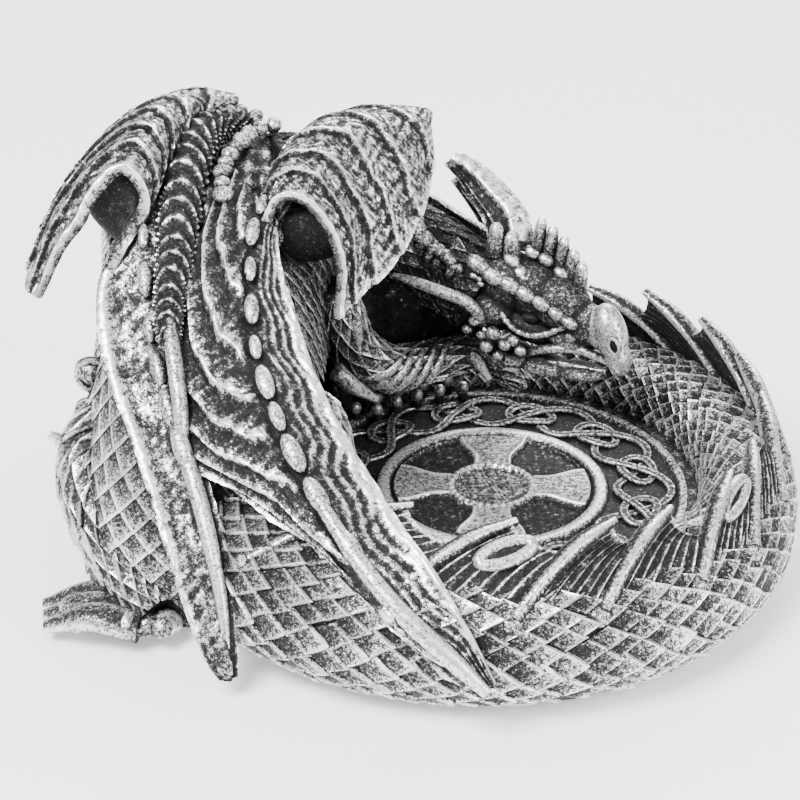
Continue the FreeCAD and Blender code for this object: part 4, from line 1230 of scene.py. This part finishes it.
def limbPieces():
    for node, limb in limbs.items():
        tube = Tube(resample(np.array(limb["path"], float), 24), up=(0.3, 0.9, 0.2))
        body = skin(f"{node}_body", tube, 50, 40, raised=0.1)
        cover = scales(f"{node}_scales", tube, limb["rows"], limb["around"], limb["height"])
        extra = []
        cuffs = limb.get("cuffs", {"count": 0})
        for i in range(cuffs["count"]):
            along = cuffs["from"] + cuffs["step"] * i - cuffs["slant"] * np.linspace(0, 1, 12)
            turn = np.linspace(*cuffs["turn"], 12)
            line = tube.at(along, turn) + cuffs["lift"] * tube.normal(along, turn)
            extra.append(rod(f"cuff{i}", line, [0.5, 0.9, *[1.0] * 8, 0.9, 0.5], steps=2, flat=1.5,
                             worn=(0.6, 0.6)))
        # the right foreleg sits in the shade under the neck, so it takes the silver with painted shade
        material = shadedSilver if node == "right_foreleg" else castSilver
        finish(joined(f"{node}_cast", [body, cover, *extra]), material, node)


claws = {
    "fore": [
        ([(-43, 19, 60), (-42.5, 18, 54), (-42, 18.5, 47)], [2.4, 2.0, 0.8]),
        ([(-39, 19, 58), (-38.5, 18, 53), (-38, 18.5, 47.5)], [2.2, 1.8, 0.8]),
        ([(-44, 14, 43), (-39, 15, 37.5), (-33, 18, 32)], [2.6, 2.2, 0.9]),
        ([(-9, 41, 37), (-5, 38.5, 34), (-1.5, 37.5, 29)], [2.0, 1.7, 0.8]),
        ([(-4, 45, 33), (4, 45, 29), (9, 45.5, 22)], [2.4, 2.0, 0.9]),
    ],
    "knobs": 10, "knobFrom": 101, "knobStep": 4.2, "knobInset": (8.5, 3.5), "knobTop": 20.5,
    "toes": 3, "toePlates": 4, "toeRadii": [4.6, 4.2, 1.9], "arch": 3,
    "toeFrom": (-90, -60, 6), "toeTo": (-115, -57, 3.6), "stepFrom": (-1.5, 5, 0), "stepTo": (-1, 5, 0),
}
hindFoot = {
    "lumps": [((-90, -56, 6.2), (9, 6, 3.6), (1, 0, 0)), ((-101, -53, 6.5), (11, 7.5, 4.6), (1, 0, -0.12)),
              ((-84, -57, 6), (5, 4.2, 3.6), (1, 0, 0))],
    "plates": 7, "plate": (2.7, 2.9, 1.8), "from": (-84, -60.5, 6.8), "step": (-4.2, 0.7, 0),
}
flank = {
    "spike": [(-106, -21, 35), (-111, -23, 38), (-117, -24.5, 42.5)], "spikeRadii": [3.6, 2.8, 1.2],
    "lobes": [(-107, -9, 53.5, 5.4), (-108, -12, 43.5, 4.4)], "root": [5, 4.4, 3.4], "rim": 0.9,
}


def foreClawPiece():
    # the claws of the right foreleg, and the knobs of both feet along the edge of the tray
    rods = []
    for i, (path, radii) in enumerate(claws["fore"]):
        rods.append(rod(f"foreClaw{i}", path, radii, around=14, worn=(0.5, 0.7)))
    for i in range(claws["knobs"]):
        reach = trayRadius - claws["knobInset"][i % 2]
        x, y, z = onRing(claws["knobFrom"] + claws["knobStep"] * i, reach, claws["knobTop"] - 0.1 * i)
        rods.append(bead(f"knob{i}", (x, y, z), (1.7, 1.7, 2.4), (1, 0.2, 0), (0, -0.6, 0.8), 0.6))
        stem = [(x, y + 1, 16), (x, y + 0.6, 18), (x, y, 20)]
        rods.append(rod(f"knobStem{i}", stem, [1.5, 1.3, 1.1], around=10, worn=(0.1, 0.3)))
    finish(joined("foreleg_claws_cast", rods), castSilver, "foreleg_claws")


def hindClawPiece():
    toes = []
    for i in range(claws["toes"]):
        start = np.array(claws["toeFrom"]) + np.array(claws["stepFrom"]) * i
        end = np.array(claws["toeTo"]) + np.array(claws["stepTo"]) * i
        middle = (start + end) / 2 + [0, 0, claws["arch"]]
        toes.append(rod(f"toe{i}", [start, middle, end], claws["toeRadii"], around=20, worn=(0.6, 0.85),
                        groove=3))
        for k in range(claws["toePlates"]):
            at = start + (end - start) * (0.12 + 0.17 * k) + [0, -1.2, 3.4 - 0.3 * k]
            toes.append(bead(f"toePlate{i}{k}", at, (2.3, 3.1, 1.3), (-1, 0.1, 0), (0, -0.5, 1), 0.6))
    finish(joined("hind_claws_cast", toes), castSilver, "hind_claws")


def hindFootPiece():
    heel = melted("foot_skin", balls("foot", hindFoot["lumps"]), grain=0.6)
    wearByShape(heel, 0.2, 0.7)
    plates = []
    for i in range(hindFoot["plates"]):
        spot = np.array(hindFoot["from"]) + np.array(hindFoot["step"]) * i
        plates.append(bead(f"footPlate{i}", spot, hindFoot["plate"], (-1, 0, 0), (0, -1, 0.9), 0.5))
    finish(joined("hind_foot_cast", [heel, *plates]), castSilver, "left_hind_foot")


def flankPiece():
    # a knee spike, and two rimmed lobes that grow out of the thigh
    fins = [rod("kneeSpike", flank["spike"], flank["spikeRadii"], around=16, worn=(0.5, 0.75))]
    for i, (x, y, z, size) in enumerate(flank["lobes"]):
        root = [(x + 10, y + 3, z - 3), (x + 5, y + 1, z - 1), (x, y, z)]
        fins.append(rod(f"lobeRoot{i}", root, flank["root"], around=14, worn=(0.2, 0.4)))
        fins.append(bead(f"lobe{i}", (x, y, z), (size, size * 0.7, size), (-1, 0, 0.4), (0, -1, 0.3), 0.45))
        ring = []
        for t in np.linspace(0, tau, 17):
            ring.append([x + size * 0.8 * math.cos(t), y - size * 0.45, z + size * 0.8 * math.sin(t),
                         flank["rim"], flank["rim"]])
        fins.append(skin(f"lobeRim{i}", Tube(ring, up=(0, 1, 0)), 33, 8, raised=0.65))
        hollow = (size * 0.6, size * 0.6, 0.8)
        fins.append(bead(f"lobeHollow{i}", (x, y - size * 0.55, z), hollow, (1, 0, 0), (0, -1, 0), 0.05))
    finish(joined("flank_fin_cast", fins), castSilver, "flank_fin")


limbPieces()
foreClawPiece()
hindClawPiece()
hindFootPiece()
flankPiece()
print("legs done")


# scales over the built torso, open at the exit arch and at the top

chest = {
    "z": [3, 14, 26, 38, 50, 62, 74, 83], "rows": 9, "around": 46, "height": 1.5, "lift": 0.3,
    "archY": (-6, 38), "archTop": 50, "archTurn": 1.2, "band": 7, "reach": 30,
}


def torsoSkin():
    # the outline of the built torso is read at a few heights, and scales are set along it
    points = np.array([v.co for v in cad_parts["torso"].data.vertices], float) / mm
    turns = np.linspace(-math.pi, math.pi, 73)[:-1]
    rings = []
    for z in chest["z"]:
        near = points[np.abs(points[:, 2] - z) < chest["band"]]
        away = near[:, :2] - torsoMiddle
        angle, reach = np.arctan2(away[:, 1], away[:, 0]), np.hypot(away[:, 0], away[:, 1])
        ring = []
        for turn in turns:
            gap = np.abs((angle - turn + math.pi) % tau - math.pi)
            chosen = reach[gap < 0.2]
            ring.append(chosen.max() if len(chosen) else chest["reach"])
        rings.append(ring)
    return np.array(rings)


def torsoPlates():
    rings = torsoSkin()
    shape, faces, worn = diamond((0, 0.5, 0.85, 1))
    levels = np.array(chest["z"], float)

    def reachAt(turn, z):
        column = (turn + math.pi) / tau * rings.shape[1] % rings.shape[1]
        low = int(column)
        mixed = rings[:, low] * (1 - column + low) + rings[:, (low + 1) % rings.shape[1]] * (column - low)
        return np.interp(z, levels, mixed)

    spots, allFaces, allWorn = [], [], []
    stepZ = (levels[-1] - levels[0]) / chest["rows"]
    stepTurn = tau / chest["around"]
    for i in range(chest["rows"] * 2 - 1):
        z0 = levels[-1] - stepZ * (0.5 + i / 2)
        for j in range(chest["around"]):
            turn0 = -math.pi + stepTurn * (j + 0.5 * (i % 2))
            y0 = torsoMiddle[1] + reachAt(turn0, z0) * math.sin(turn0)
            facing = abs(turn0) < chest["archTurn"] and z0 < chest["archTop"]
            if facing and chest["archY"][0] < y0 < chest["archY"][1]:
                continue
            plate = []
            for along, side, rise in shape:
                turn = turn0 + side * stepTurn * 0.54
                z = np.clip(z0 - along * stepZ * 0.56, 1.5, levels[-1] - 0.5)
                reach = reachAt(turn, np.clip(z, levels[0], levels[-1]))
                reach = reach + chest["lift"] + rise * chest["height"]
                x, y = torsoMiddle + [reach * math.cos(turn), reach * math.sin(turn)]
                plate.append([x, y, z])
            n = len(spots) * len(shape)
            spots.append(plate)
            allFaces += [tuple(n + k for k in face) for face in faces]
            allWorn.append(worn)
    points = np.array(spots).reshape(-1, 3)
    cover = toObject("torso_scales", points, allFaces, np.concatenate(allWorn))
    # the torso scales take the silver with painted shade, which darkens them where the body is sheltered
    return finish(cover, shadedSilver)


torsoPlates()
print("torso skin done")


# what stays as built

kept = {
    "castAsBuilt": ["torso", "base_plate", "hopper_collar"],
    "innerResin": ["upper_baffle", "lower_baffle", "exit_ramp"],
    "pinSteel": ["neck_pin", "wing_pin_left", "wing_pin_right"],
    "blackFelt": ["felt_pad"],
}


def castAsBuilt():
    # the built shapes carry no wear of their own, so a wide noise stands in for it
    material = silver("castAsBuilt")
    tree = material.node_tree
    effect = next(n for n in tree.nodes if n.bl_idname == "ShaderNodeGroup")
    place = add(tree, "ShaderNodeTexCoord")
    pebbles = add(tree, "ShaderNodeTexVoronoi", Scale=260)
    tree.links.new(place.outputs["Object"], pebbles.inputs["Vector"])
    worn = maths(tree, "SUBTRACT", 0.55, maths(tree, "MULTIPLY", pebbles.outputs["Distance"], 0.55))
    tree.links.new(worn, effect.inputs["Raised"])


castAsBuilt()
for label, nodes in kept.items():
    for node in nodes:
        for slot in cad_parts[node].material_slots:
            slot.material = bpy.data.materials[label]


# camera, light and floor

view = {
    "place": (0, -0.53144, 0.33532), "lens": 100.44, "sensor": 36, "down": 28.87, "aside": 2.756,
}
studio = {
    "key": {"place": (-0.45, -0.45, 0.9), "size": 0.5, "power": 30},
    "fill": {"place": (0.7, -0.5, 0.5), "size": 0.6, "power": 10},
    "back": {"place": (0.2, 0.8, 0.8), "size": 0.8, "power": 16},
    "floor": (0.94, 0.94, 0.94), "glow": 0.5, "world": 0.65,
}


def camera():
    bpy.ops.object.camera_add(location=view["place"])
    eye = bpy.context.object
    eye.rotation_euler = (math.radians(90 - view["down"]), 0, math.radians(view["aside"]))
    eye.data.lens = view["lens"]
    eye.data.sensor_width = view["sensor"]
    bpy.context.scene.camera = eye


def light():
    for name in ("key", "fill", "back"):
        lamp = studio[name]
        bpy.ops.object.light_add(type="AREA", location=lamp["place"])
        source = bpy.context.object
        source.name = name
        source.data.size = lamp["size"]
        source.data.energy = lamp["power"]
        source.rotation_euler = Vector(lamp["place"]).to_track_quat("Z", "Y").to_euler()
    sky = bpy.data.worlds.new("studio")
    sky.use_nodes = True
    sky.node_tree.nodes["Background"].inputs["Color"].default_value = (1, 1, 1, 1)
    sky.node_tree.nodes["Background"].inputs["Strength"].default_value = studio["world"]
    bpy.context.scene.world = sky


def floor():
    bpy.ops.mesh.primitive_plane_add(size=8, location=(0, 0, 0))
    ground = bpy.context.object
    ground.name = "floor"
    paint = bpy.data.materials.new("paleFloor")
    paint.use_nodes = True
    paint.node_tree.nodes["Principled BSDF"].inputs["Base Color"].default_value = (*studio["floor"], 1)
    paint.node_tree.nodes["Principled BSDF"].inputs["Roughness"].default_value = 0.9
    paint.node_tree.nodes["Principled BSDF"].inputs["Emission Color"].default_value = (1, 1, 1, 1)
    paint.node_tree.nodes["Principled BSDF"].inputs["Emission Strength"].default_value = studio["glow"]
    ground.data.materials.append(paint)


camera()
light()
floor()
print("studio done")
